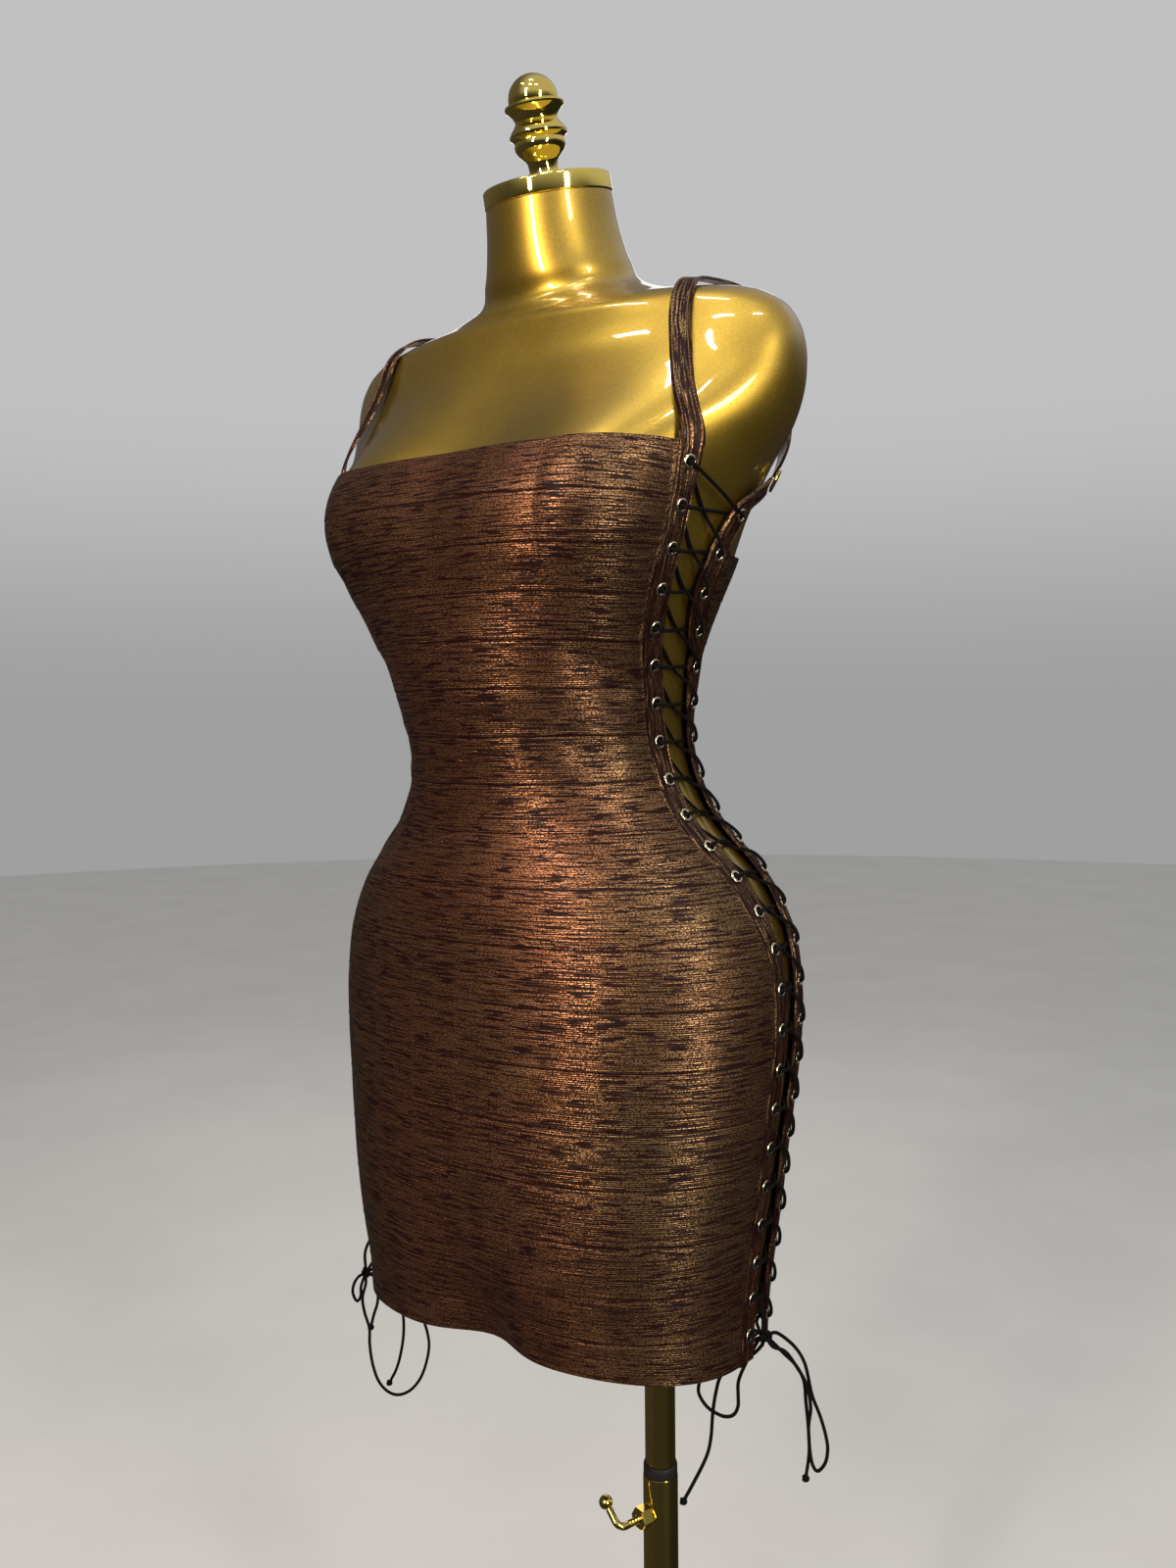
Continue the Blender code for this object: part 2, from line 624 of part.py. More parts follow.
def build_dress(surface):
    """Panels, laced bands with their straps, and the rings that join them."""
    front = band_frames(surface, "front_angle")
    back = band_frames(surface, "back_angle")
    strap_points, strap_normals = strap_frames(surface, front[-1], STRAP_ROUTE, STRAP_LIFT)
    centres = [f.centre for f in front] + strap_points
    normals = [f.normal for f in front] + strap_normals
    halves = [BAND_HALF] * len(front) + [STRAP_HALF] * len(strap_points)
    front_whole = frames_along(centres, normals, halves)
    tip_points, tip_normals = strap_frames(surface, back[-1], [BAND_TOP], STRAP_LIFT)
    back_whole = frames_along([f.centre for f in back] + tip_points,
                              [f.normal for f in back] + tip_normals,
                              [BAND_HALF] * len(back) + [STRAP_HALF] * len(tip_points))
    heights = eyelet_heights(front_whole[:SEAM_ROWS])
    front_spots = [on_frames(front_whole, z) for z in heights]
    back_spots = [on_frames(back_whole, z) for z in heights[1:]]
    pieces = []
    for side, mirror in (("left", False), ("right", True)):
        for where, frames, spots in (("front", front_whole, front_spots),
                                     ("back", back_whole, back_spots)):
            if mirror:
                frames = mirrored_frames(frames)
                spots = [tuple(mirrored(pair)) for pair in spots]
            band = band_object(f"{where}_band_{side}", frames)
            cut_holes(band, spots)
            pieces.append(band)
    seam = BAND_HALF + 1.3 * GAP
    front_left = [f.centre - seam * f.side for f in front_whole]
    front_right = mirrored(front_left)
    back_left = [f.centre + seam * f.side for f in back_whole]
    back_right = mirrored(back_left)

    def front_angle(i):
        return LACE_PLACES[i].front_angle - 5.5

    def back_angle(i):
        return LACE_PLACES[i].back_angle + 6.5

    pieces.append(panel_object(surface, "front_panel", SEAM_ROWS, FRONT_COLUMNS,
                               lambda i: front_right[i], lambda i: front_left[i],
                               lambda i: -front_angle(i), front_angle))
    pieces.append(panel_object(surface, "back_panel", BACK_ROWS, BACK_COLUMNS,
                               lambda i: back_left[i], lambda i: back_right[i],
                               back_angle, lambda i: 360 - back_angle(i)))
    return pieces, front_spots, back_spots


# ---- lacing -----------------------------------------------------------------------------
def seated(surface, point, way, normal, height):
    """A point at a height over the form, clear of it a little before and behind too."""
    levels = []
    for reach in (-6 * MM, 0, 6 * MM):
        start = point + reach * way.normalized() + 30 * MM * normal
        spot, _, _, _ = surface.ray_cast(start, -normal)
        levels.append((spot - point).dot(normal))
    return point + (max(levels) + height) * normal


def past_eyelet(spot):
    """The two points of a strand that goes in through an eyelet."""
    centre, normal = spot
    return [centre + (height - BAND_LIFT) * normal for height in (OUTER_STRAND, INNER_STRAND)]


def lace_route(surface, front, back):
    """The whole cord of one side, criss-crossed, with its middle at the top eyelet."""
    def clear_share(spots, i, way):
        """The share of a way from an eyelet at which it has left the eyelet's band."""
        along = spots[min(i + 1, len(spots) - 1)][0] - spots[max(i - 1, 0)][0]
        return BAND_EDGE / way.cross(along.normalized()).length

    def over_band(spot, offset, height):
        """A point over the edge of the flat band, beside one of its eyelets."""
        flat = offset - offset.dot(spot[1]) * spot[1]
        return spot[0] + flat + (height - BAND_LIFT) * spot[1]

    def over_form_marks(start, end, marks):
        """Points between two eyelets, each mark a share of the way and a height."""
        way = end[0] - start[0]
        points = []
        for share, height in marks:
            normal = start[1].lerp(end[1], share).normalized()
            points.append(seated(surface, start[0] + share * way, way, normal, height))
        return points

    def diagonal(i):
        """From inside a front eyelet down over the edge of the back band."""
        way = back[i][0] - front[i - 1][0]
        first, last = clear_share(front, i - 1, way), 1 - clear_share(back, i, way)
        marks = ((first, INNER_STRAND), (0.45 * first + 0.55 * last, INNER_STRAND))
        return (over_form_marks(front[i - 1], back[i], marks)
                + [over_band(back[i], (last - 1) * way, OUTER_STRAND + MM)])

    def level(i):
        """From inside a back eyelet straight across over the edge of the front band."""
        way = front[i + 1][0] - back[i][0]
        first, last = clear_share(back, i, way), 1 - clear_share(front, i + 1, way)
        marks = ((first, INNER_STRAND), (0.5 * (first + last), CROSSING))
        return (over_form_marks(back[i], front[i + 1], marks)
                + [over_band(front[i + 1], (last - 1) * way, OUTER_STRAND)])

    def strand(first):
        """One half of the cord, from the first back eyelet that it enters."""
        points = []
        for i in range(first, len(back), 2):
            if i > 0:
                points += diagonal(i)
            points += past_eyelet(back[i]) + level(i) + past_eyelet(front[i + 1])
        return points

    marks = ((0.25, OUTER_STRAND), (0.5, OUTER_STRAND), (0.75, OUTER_STRAND))
    outer_half = over_form_marks(front[0], back[0], marks) + strand(0)
    return outer_half[::-1] + past_eyelet(front[0]) + strand(1)


def from_knot(side, point):
    """Where a cord that comes from a point meets the knot."""
    knot = Vector(KNOTS[side]) * MM
    return knot + (KNOT_RADIUS + GAP) * (point - knot).normalized()


def build_lacing(surface, front_spots, back_spots):
    """The lace of each side with the knot, loops and tails of its bow."""
    pieces = []
    for side in ("left", "right"):
        route = lace_route(surface, front_spots, back_spots)
        if side == "right":
            route = mirrored(route)
        ends = [[Vector(point) * MM for point in end] for end in LACE_ENDS[side]]
        ends = [end + [from_knot(side, end[-1])] for end in ends]
        route = ends[0][::-1] + route + ends[1]
        pieces.append(tube(f"lace_{side}", route, LACE_RADIUS, "black_lace", 0))
        data = bmesh.new()
        bmesh.ops.create_icosphere(data, subdivisions=2, radius=KNOT_RADIUS,
                                   matrix=Matrix.Translation(Vector(KNOTS[side]) * MM))
        pieces.append(mesh_object(f"knot_{side}", data, "black_lace"))
    for name, corners in BOW_ROUTES.items():
        side = name.split("_")[0]
        corners = [Vector(point) * MM for point in corners]
        corners.insert(0, from_knot(side, corners[0]))
        if "loop" in name:
            corners.append(from_knot(side, corners[-1]))
        points = smooth_route(corners, ROUTE_STEP)
        pieces.append(tube(f"bow_{name}", points, LACE_RADIUS, "black_lace", 2))
    return pieces


def build_rings(surface):
    """The small rings between the straps and the back bands."""
    spot, normal, _, _ = surface.find_nearest(Vector(RING_CENTRE) * MM)
    lift = STRAP_LIFT + WALL + RING_WIRE + RING_STAND
    pieces = []
    for side, sign in (("left", 1), ("right", -1)):
        facing = Vector((sign * normal.x, normal.y, normal.z))
        place = Vector((sign * spot.x, spot.y, spot.z)) + lift * facing
        bpy.ops.mesh.primitive_torus_add(major_radius=RING_RADIUS, minor_radius=RING_WIRE,
                                         major_segments=16, minor_segments=5)
        ring = bpy.context.active_object
        ring.name = f"strap_ring_{side}"
        ring.data.materials.append(finish_material("brass"))
        turn = facing.to_track_quat("Z", "X").to_matrix().to_4x4()
        ring.matrix_world = Matrix.Translation(place) @ turn
        for collection in list(ring.users_collection):
            collection.objects.unlink(ring)
        parts.objects.link(ring)
        pieces.append(ring)
    return pieces


# ---- stand --------------------------------------------------------------------------------
def hollow_tube(name, outer, bore, bottom, top, finish, steps=20):
    """An upright tube on the pole's axis."""
    profile = [(outer, top), (outer, bottom), (bore, bottom), (bore, top), (outer, top)]
    profile = [(radius / MM, height / MM) for radius, height in profile]
    return turned(name, profile, finish, Matrix.Translation(POLE), steps)


def build_stand():
    """Round base, flange, outer tube with its collar, and the nut of the clamp."""
    base = cylinder("base_plate", BASE_RADIUS, BASE_HEIGHT, "brass", Vector(), sides=34)
    bevelled(base, 2 * MM)
    level = BASE_HEIGHT + GAP
    flange = hollow_tube("pole_flange", FLANGE_RADIUS, LOWER_RADIUS + GAP, level,
                         level + FLANGE_HEIGHT, "brass")
    lower = hollow_tube("lower_tube", LOWER_RADIUS, LOWER_BORE, level, LOWER_TOP, "brass")
    collar = hollow_tube("collar_ring", COLLAR_RADIUS, LOWER_BORE, LOWER_TOP + GAP,
                         LOWER_TOP + GAP + COLLAR_HEIGHT, "black_plastic")
    way = CLAMP_WAY.to_track_quat("Z", "Y").to_matrix().to_4x4()
    middle = POLE + Vector((0, 0, CLAMP_Z))
    data = bmesh.new()
    reach = LOWER_RADIUS + GAP + NUT_LENGTH / 2
    bmesh.ops.create_cone(data, cap_ends=True, segments=6, radius1=NUT_RADIUS,
                          radius2=NUT_RADIUS, depth=NUT_LENGTH)
    nut = mesh_object("clamp_nut", data, "brass")
    nut.matrix_world = Matrix.Translation(middle + reach * CLAMP_WAY) @ way
    data = bmesh.new()
    drill_reach = 20 * MM
    bmesh.ops.create_cone(data, cap_ends=True, segments=16, radius1=NUT_BORE,
                          radius2=NUT_BORE, depth=2 * drill_reach)
    drill = mesh_object("clamp_cutter", data, "brass", cutters)
    drill.matrix_world = Matrix.Translation(middle + 1.5 * drill_reach * CLAMP_WAY) @ way
    cut(nut, drill)
    cut(lower, drill)
    return [base, flange, lower, collar, nut], middle


def build_clamp(middle):
    """The threaded rod with its bent handle and ball end."""
    sideways = CLAMP_WAY.cross(Vector((0, 0, 1))).normalized()
    lean = math.radians(HANDLE_LEAN)
    rise = math.cos(lean) * Vector((0, 0, 1)) + math.sin(lean) * sideways
    start = middle + (UPPER_RADIUS + GAP) * CLAMP_WAY
    corner = middle + SCREW_REACH * CLAMP_WAY
    bend = 6 * MM
    points = [start, corner - bend * CLAMP_WAY]
    for step in (30, 60, 90):
        turn = math.radians(step)
        points.append(corner - bend * CLAMP_WAY + bend * rise
                      + bend * (math.sin(turn) * CLAMP_WAY - math.cos(turn) * rise))
    ball = corner + HANDLE_LENGTH * rise
    sizes = [1.0] * len(points)
    for angle in (150, 125, 95, 60, 30, 8):
        turn = math.radians(angle)
        points.append(ball + BALL_RADIUS * math.cos(turn) * rise)
        sizes.append(BALL_RADIUS * math.sin(turn) / SCREW_RADIUS)
    screw = tube("clamp_screw", points, SCREW_RADIUS, "brass", 3)
    for knot, size in zip(screw.data.splines[0].points, sizes):
        knot.radius = size
    return screw


def build():
    """Make every piece and hang the moving ones on their axes."""
    form, surface = build_form()
    neck = build_neck()
    dress, front_spots, back_spots = build_dress(surface)
    lacing = build_lacing(surface, front_spots, back_spots)
    rings = build_rings(surface)
    _, middle = build_stand()
    upper = cylinder("upper_tube", UPPER_RADIUS, UPPER_TOP - UPPER_FOOT, "brass",
                     POLE + Vector((0, 0, UPPER_FOOT)), sides=20)
    screw = build_clamp(middle)
    mast_axis = axis_empty("mast_axis", POLE + Vector((0, 0, LOWER_TOP)))
    figure_axis = axis_empty("figure_axis", POLE + Vector((0, 0, FORM_BOTTOM)))
    clamp_axis = axis_empty("clamp_axis", middle)
    hang_on(mast_axis, upper, figure_axis)
    hang_on(figure_axis, form, *neck, *dress, *lacing, *rings)
    hang_on(clamp_axis, screw)


clear_scene()
parts = new_collection("bodycon_dress_on_form")
cutters = new_collection("cutters")
build()
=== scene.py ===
"""The finished look of a laced bodycon mini dress on its dress form and stand.

Metres, +Z up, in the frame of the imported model.  The wearer faces -Y and the wearer's
left is +X.  Sizes in the tables are millimetres and degrees.
"""
import math
from collections import namedtuple

import bmesh
import bpy
import numpy as np
from mathutils import Matrix, Vector
from mathutils.bvhtree import BVHTree


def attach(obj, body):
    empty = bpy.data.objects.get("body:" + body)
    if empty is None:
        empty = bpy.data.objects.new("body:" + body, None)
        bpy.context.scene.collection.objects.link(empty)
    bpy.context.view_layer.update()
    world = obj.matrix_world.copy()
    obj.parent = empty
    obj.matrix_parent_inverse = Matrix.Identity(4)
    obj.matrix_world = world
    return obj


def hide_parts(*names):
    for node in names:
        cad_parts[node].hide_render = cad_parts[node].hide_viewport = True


bl_info = {
    "name": "Laced Bodycon Dress",
    "version": (1, 0, 0),
    "blender": (4, 5, 0),
    "location": "View3D > Sidebar > Dress",
    "description": "Makes a foil-printed bandage dress with laced sides on a dress form",
    "category": "Add Mesh",
}

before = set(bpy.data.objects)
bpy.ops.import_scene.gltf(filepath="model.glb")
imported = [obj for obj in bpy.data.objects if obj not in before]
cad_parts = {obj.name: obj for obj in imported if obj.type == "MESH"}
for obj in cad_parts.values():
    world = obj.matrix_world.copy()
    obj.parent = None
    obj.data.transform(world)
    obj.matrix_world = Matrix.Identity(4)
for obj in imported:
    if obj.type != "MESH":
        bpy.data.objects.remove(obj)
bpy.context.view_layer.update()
MM = 0.001

# ---- the figure ---------------------------------------------------------------------
# Rings of the figure: height, half width, depth in front of and behind the axis, how
# square each half is, the hollow between the thighs, the tip down to the front, and how
# far the ring's middle stands back.
FIGURE = np.array([
    (672, 146, 99, 93, 2.7, 2.3, 22, 0, 0),
    (703, 147.5, 103, 95, 2.6, 2.3, 14, 0, 0),
    (736, 152, 108, 99, 2.55, 2.25, 6, 0, 0),
    (770, 156.5, 111, 105, 2.5, 2.25, 1, 0, 0),
    (806, 161, 113, 113, 2.4, 2.2, 0, 0, 0),
    (843, 165.5, 114, 122, 2.3, 2.2, 0, 0, 0),
    (880, 169, 114, 129, 2.25, 2.2, 0, 0, 0),
    (917, 170, 113, 129.5, 2.2, 2.15, 0, 0, 0),
    (954, 164.5, 111, 122, 2.15, 2.15, 0, 0, 0),
    (990, 146.5, 107, 105, 2.1, 2.1, 0, 0, 0),
    (1024, 117.5, 99, 78, 2.1, 2.1, 0, 0, 0),
    (1056, 102, 100, 60, 2.1, 2.1, 0, 0, 0),
    (1087, 97.5, 108, 50, 2.1, 2.1, 0, 0, 0),
    (1117, 101, 116, 49.5, 2.15, 2.15, 0, 0, 0),
    (1147, 108, 117, 58, 2.2, 2.2, 0, 0, 0),
    (1176, 119, 110.5, 73, 2.2, 2.2, 0, 0, 0),
    (1204, 130, 105, 84, 2.2, 2.25, 0, 0, 0),
    (1232, 140, 100, 90, 2.3, 2.3, 0, 0, 0),
    (1263, 158, 91, 93, 2.3, 2.3, 0, 0, 0),
    (1285, 174, 80, 92, 2.2, 2.3, 0, 0, 0),
    (1303, 181, 70, 92, 2.1, 2.35, 0, 0, 0),
    (1320, 183.5, 61, 91, 2.0, 2.4, 0, 0, 0),
    (1336, 183, 54, 88, 2.0, 2.4, 0, 2, 0),
    (1350, 178, 50, 82, 2.0, 2.4, 0, 4, 0),
    (1361, 168, 48, 76, 2.0, 2.4, 0, 6, 0),
    (1369, 152, 47, 70, 2.0, 2.35, 0, 8, 0),
    (1375, 127, 45, 64, 2.0, 2.3, 0, 10, 0),
    (1380, 96, 43, 60, 2.0, 2.2, 0, 13, 0),
    (1386, 74, 43, 59, 2.0, 2.1, 0, 15, 0),
    (1392, 62, 44, 56, 2.0, 2.0, 0, 16, 3),
    (1408, 52.5, 46, 51.5, 2.0, 2.0, 0, 16, 1.5),
    (1431, 46.5, 45.5, 46.5, 2.0, 2.0, 0, 15.5, -2),
    (1454, 44, 44, 44, 2.0, 2.0, 0, 15, -6),
])
FIGURE_SLOPES = np.gradient(FIGURE[:, 1:], FIGURE[:, 0], axis=0)
SEAM_ROWS = 19                      # the lowest rings are also the seams of the dress
BACK_ROWS = 17
FORM_BOTTOM = 686
BUST_X, BUST_Z, BUST_OUT, BUST_SPREAD, BUST_WIDE, BUST_TALL = 80, 1228, 38, 14, 62, 64
BUST_LEVEL = 24                     # how level the cloth lies from one side to the other
HOLLOW_HALF = 34
EDGE_ROUND, STEEP_FROM = 6, 1336    # rounding under the form; closer rows from here up
PROBE = 30                          # from how far off rays look for the figure

# ---- cloth, bands and lacing ---------------------------------------------------------
WALL = 1.5
CLOTH_LIFT, BAND_LIFT, STRAP_LIFT, TOP_LIFT = 2.0, 3.6, 3.4, 1.3
BAND_HALF, STRAP_HALF = 9.0, 7.0
LIFT_RUN = 30.0                     # degrees over which a panel rises to its band
HEM_RISE = 10
EYELETS = 24
FIRST_EYELET, LAST_EYELET = 1250.5, 689.5
EYELET_UP, HOLE_RADIUS, HOLE_DEPTH = 1.0, 2.8, 9
BAND_FOOT, FRONT_BAND_TOP, BACK_BAND_TOP = 671, 1263, 1232      # heights of the laced part
ROW_STEP, TOP_RUN, STRAP_RUN, TAPER_RUN = 2.5, 31, 48, 22
BAND_RIBS = 5
DEEP_CREASE, CREASE_REACH = 0.9, 45     # a deeper crease also moves the inner face in
SEAM_MARKS = [0.0, 0.5, 1.3, 2.2, 4.0, 8.0, 13.0, 18.0, 23.0, 27.0, 30.0]
EDGE_GAP, EDGE_TOP = 0.35, 1275         # gap from panel to band, and where its line ends
FRONT_EDGE_IN, BACK_EDGE_IN = 5.5, 6.5  # degrees from the eyelets to a panel's edge, roughly
EDGE_SEARCH, EDGE_TRIALS = 14, 141      # degrees both ways in which the edge is looked for
FRONT_COLUMNS, BACK_COLUMNS = 168, 150
INNER_STRAND, CROSSING, OUTER_STRAND = 1.95, 4.4, 7.3
BAND_EDGE = BAND_HALF + 1.5
STRAP_START, STRAP_END = 240, 6         # rows of the band before and after the stitches
STITCH_STEP, STITCH_IN, STITCH_UP, STITCH_WIDE = 2.6, 2.0, 0.1, 0.6

# Where the two rows of eyelets stand on the wearer's left: height, then degrees round.
LACE_PLACES = np.array([
    (672, 89.0, 103.5), (703, 89.0, 103.0), (736, 88.5, 102.5), (770, 88.5, 102.0),
    (806, 88.5, 101.0), (843, 88.5, 100.5), (880, 89.0, 100.5), (917, 89.0, 101.5),
    (954, 87.5, 103.5), (990, 83.5, 106.5), (1024, 79.5, 107.5), (1056, 77.5, 105.5),
    (1087, 76.0, 102.0), (1117, 74.0, 97.0), (1147, 70.5, 89.5), (1176, 67.5, 83.0),
    (1204, 66.5, 83.0), (1232, 65.4, 88.0), (1263, 60.0, 98.0),
])
LACE_SLOPES = np.gradient(LACE_PLACES[:, 1:], LACE_PLACES[:, 0], axis=0)

# The left strap's way over the shoulder, and the upper end of the back band.
STRAP_ROUTE = [(137, -56, 1289), (130, -46, 1316), (122, -30, 1345), (117, -10, 1368),
               (117, 12, 1374), (121, 33, 1362), (128, 52, 1336), (138, 62, 1308),
               (146, 58.5, 1285), (149.4, 49, 1266), (150.6, 44.2, 1257.6)]
BAND_TOP = (150.2, 38.2, 1248.8)
RING_CENTRE, RING_RADIUS, RING_WIRE, RING_LIFT = (150.5, 41, 1253), 7.0, 1.1, 6.4

# Soft creases in the stretched cloth: both ends as degrees round and height, then the
# width and the depth of the trough.
Crease = namedtuple("Crease", "angle_1 z_1 angle_2 z_2 width depth")
CREASES = [
    Crease(64, 1205, 34, 1188, 7, 0.9),
    Crease(64, 1110, 40, 1144, 9, 2.2),
    Crease(60, 1070, 40, 1080, 10, 2.0),
    Crease(72, 1040, 46, 1052, 8, 1.2),
    Crease(78, 990, 52, 1006, 8, 1.0),
    Crease(-64, 1205, -34, 1186, 7, 0.9),
    Crease(-62, 1112, -42, 1142, 9, 2.0),
    Crease(-60, 1071, -42, 1082, 10, 1.8),
    Crease(-72, 1045, -42, 1055, 8, 1.1),
    Crease(-80, 985, -50, 1003, 8, 0.9),
    Crease(112, 1035, 150, 1052, 9, 1.2),
    Crease(108, 1085, 156, 1078, 8, 1.0),
    Crease(100, 1140, 150, 1112, 8, 0.9),
    Crease(248, 1035, 210, 1052, 9, 1.2),
    Crease(252, 1085, 204, 1078, 8, 1.0),
    Crease(260, 1140, 210, 1112, 8, 0.9),
    Crease(150, 1064, 210, 1066, 8, 0.8),
    Crease(20, 716, -24, 712, 12, 0.8),
]

# ---- bows -----------------------------------------------------------------------------
KNOTS = {"left": (157, 9, 685), "right": (-193, -12, 649)}
KNOT_REACH, KNOT_SIZE = 2.5, 1.25
END_KNOT_BACK, END_KNOT_SIZE, END_KNOT_CORD = 2.2, 0.62, 0.95
LACE_STEP, BOW_STEP = 1.6, 2.0
LACE_ENDS = {
    "left": [[(148.6, 6.8, 688)], [(150.7, 6.5, 712), (154, 9, 703), (157, 9, 696)]],
    "right": [[(-148.6, 6.8, 688), (-156, 7, 685), (-168, 2, 681), (-182, -6, 667)],
              [(-150.7, 6.5, 712), (-156, 10, 704), (-174, 11, 696), (-192, 4, 682),
               (-197.5, -7, 665)]],
}
BOW_ROUTES = {
    "left_loop_1": [(161.3, 15.3, 686), (167, 19, 682), (173, 23, 675), (177, 27, 665),
                    (180, 33, 640), (184, 37, 625), (187, 39, 612), (188, 40, 602),
                    (187, 38, 593), (184, 33, 589), (182, 29, 595), (181, 25, 622),
                    (183, 24, 637), (181, 22, 653), (177, 17, 665), (170, 12, 677),
                    (164, 6, 681)],
    "left_loop_2": [(151.8, 14.8, 681.7), (146, 15, 672), (141, 11, 660), (140, 3, 651),
                    (142, -1, 644), (144, -5, 639), (143, -9, 635), (138, -11, 633),
                    (130, -12, 634), (123, -12, 637), (116, -9, 643), (116, -3, 651),
                    (126, 3, 661), (138, 5, 669), (146, 5.5, 676), (150.7, 6.3, 681.7)],
    "left_tail_1": [(159.7, 13.1, 680.5), (165, 20, 671), (172, 25, 662), (177, 26, 653),
                    (179, 25, 640), (179, 29, 619), (179, 30, 601), (177, 28, 582)],
    "left_tail_2": [(154.5, 9.5, 678), (147, 9, 669), (137, 5, 662), (128, 1, 653),
                    (125, -1, 641), (123, -2, 626), (124, -6, 613), (124, -11, 603),
                    (119, -24, 585), (116, -32, 576)],
    "right_loop_1": [(-188, -17, 643), (-190, -19, 632), (-191, -16, 618), (-188, -14, 605),
                     (-188, -14, 592), (-186, -13, 575), (-182, -10, 560), (-176, -6, 552),
                     (-170, -1, 549), (-164, 6, 551), (-160, 14, 558), (-158, 20, 570),
                     (-160, 26, 583), (-168, 30, 596), (-178, 29, 611), (-189, 18, 626),
                     (-195, 3, 639)],
    "right_loop_2": [(-199, -14, 645), (-203.5, -15, 638), (-205, -15, 630),
                     (-200.5, -15, 624.5), (-196, -15, 630), (-195.5, -15, 638)],
    "right_tail_1": [(-188, -5, 652), (-184, 6, 641), (-181, 13, 624), (-178, 15, 606),
                     (-177, 14, 592), (-178, 12, 578), (-181, 9, 563), (-186, 4, 550)],
    "right_tail_2": [(-185, -11, 649), (-180, -12, 642), (-178, -14, 630),
                     (-181, -16, 618), (-184, -17, 606)],
}
LACE_RADIUS = 1.2

# ---- the stand, the neck cap and the finial ---------------------------------------------
POLE = Vector((63, 27, 0)) * MM
LOWER_RADIUS, LOWER_BORE, LOWER_TOP = 12.6, 11.4, 550
UPPER_RADIUS, UPPER_FOOT, UPPER_TOP = 11.0, 230, 760
SOCKET_RADIUS, SOCKET_TOP, SOCKET_DEPTH = 11.6, 761, 100
FIT = 0.3                           # clearance between one part and the next
CLAMP_Z = 523
CLAMP_WAY = Vector((-0.297, -0.955, 0)).normalized()
SCREW_RADIUS, SCREW_REACH, SCREW_STEP = 2.6, 39, 0.28
THREAD_END, THREAD_PITCH = 19.5, 1.25
HANDLE_LENGTH, HANDLE_LEAN, HANDLE_BEND, BALL_RADIUS = 19.5, 50.0, 6.0, 4.9
# Rows of the nut, outside and then inside: corner radius of the hexagon, the radius to
# which it is turned down, and height.
NUT_ROWS = [(7.6, 7.3, 0.0), (8.2, 8.2, 0.6), (8.2, 8.2, 7.7), (7.5, 7.3, 8.5),
            (8.2, 3.4, 8.5), (8.2, 3.0, 8.1), (8.2, 3.0, 0.4), (8.2, 3.3, 0.0)]
# Outlines of turned parts, as radius and height.
BASE = [(0, 0), (158.6, 0), (159.6, 0.5), (160, 1.5), (160, 4.2), (159.4, 5.4), (158.2, 6),
        (0, 6)]
FLANGE = [(12.9, 6.3), (29.4, 6.3), (30, 7), (30, 9.2), (29, 10.4), (19.5, 12.4),
          (17.4, 14), (16.6, 20.8), (15.8, 22), (14.8, 22.3), (12.9, 22.3)]
LOWER_TUBE = [(LOWER_BORE, 6.3), (LOWER_RADIUS, 6.3), (LOWER_RADIUS, LOWER_TOP - 0.8),
              (12.3, LOWER_TOP), (11.7, LOWER_TOP), (LOWER_BORE, LOWER_TOP - 0.6)]
COLLAR = [(11.4, 550.3), (12.0, 550.3), (12.3, 550.9), (12.3, 556.6), (11.9, 558),
          (11.4, 558.3)]
UPPER_TUBE = [(0, UPPER_FOOT), (10.6, UPPER_FOOT), (UPPER_RADIUS, UPPER_FOOT + 0.6),
              (UPPER_RADIUS, UPPER_TOP - 0.8), (10.4, UPPER_TOP), (0, UPPER_TOP)]
CAP = [(0, 0.3), (44.0, 0.3), (44.9, 1.2), (44.9, 10.6), (44.6, 11.6), (43.6, 12.5),
       (41.8, 12.8), (41.0, 12.5), (24, 12.6), (0, 12.8)]
FINIAL_SEAT, GLOBE_RADIUS, GLOBE_Z = 13.1, 16.5, 52.3
GLOBE_WIDE = 17.2                   # the globe is a little wider than it is tall
FINIAL = [(0, GLOBE_Z + GLOBE_RADIUS)] + [
    (GLOBE_WIDE * math.sin(math.radians(degrees)),
     GLOBE_Z + GLOBE_RADIUS * math.cos(math.radians(degrees)))
    for degrees in range(8, 96, 8)
] + [
    (17.0, 50.6), (18.6, 50.2), (20.2, 49.3), (20.6, 48.2), (20.2, 47.0), (18.2, 45.4),
    (15.9, 42.6), (14.8, 40.2), (14.8, 38.6), (16.4, 36.2), (19.0, 33.0), (20.2, 30.9),
    (20.0, 29.3), (18.2, 28.2), (17.2, 26.6), (17.9, 24.2), (17.6, 21.8), (15.8, 19.0),
    (13.2, 16.4), (11.4, 14.6), (10.5, 12.6), (10.2, 8.6), (10.3, 4.4), (11.3, 2.6),
    (12.6, 1.6), (13.1, 0.6), (12.8, 0.0), (0, 0),
]


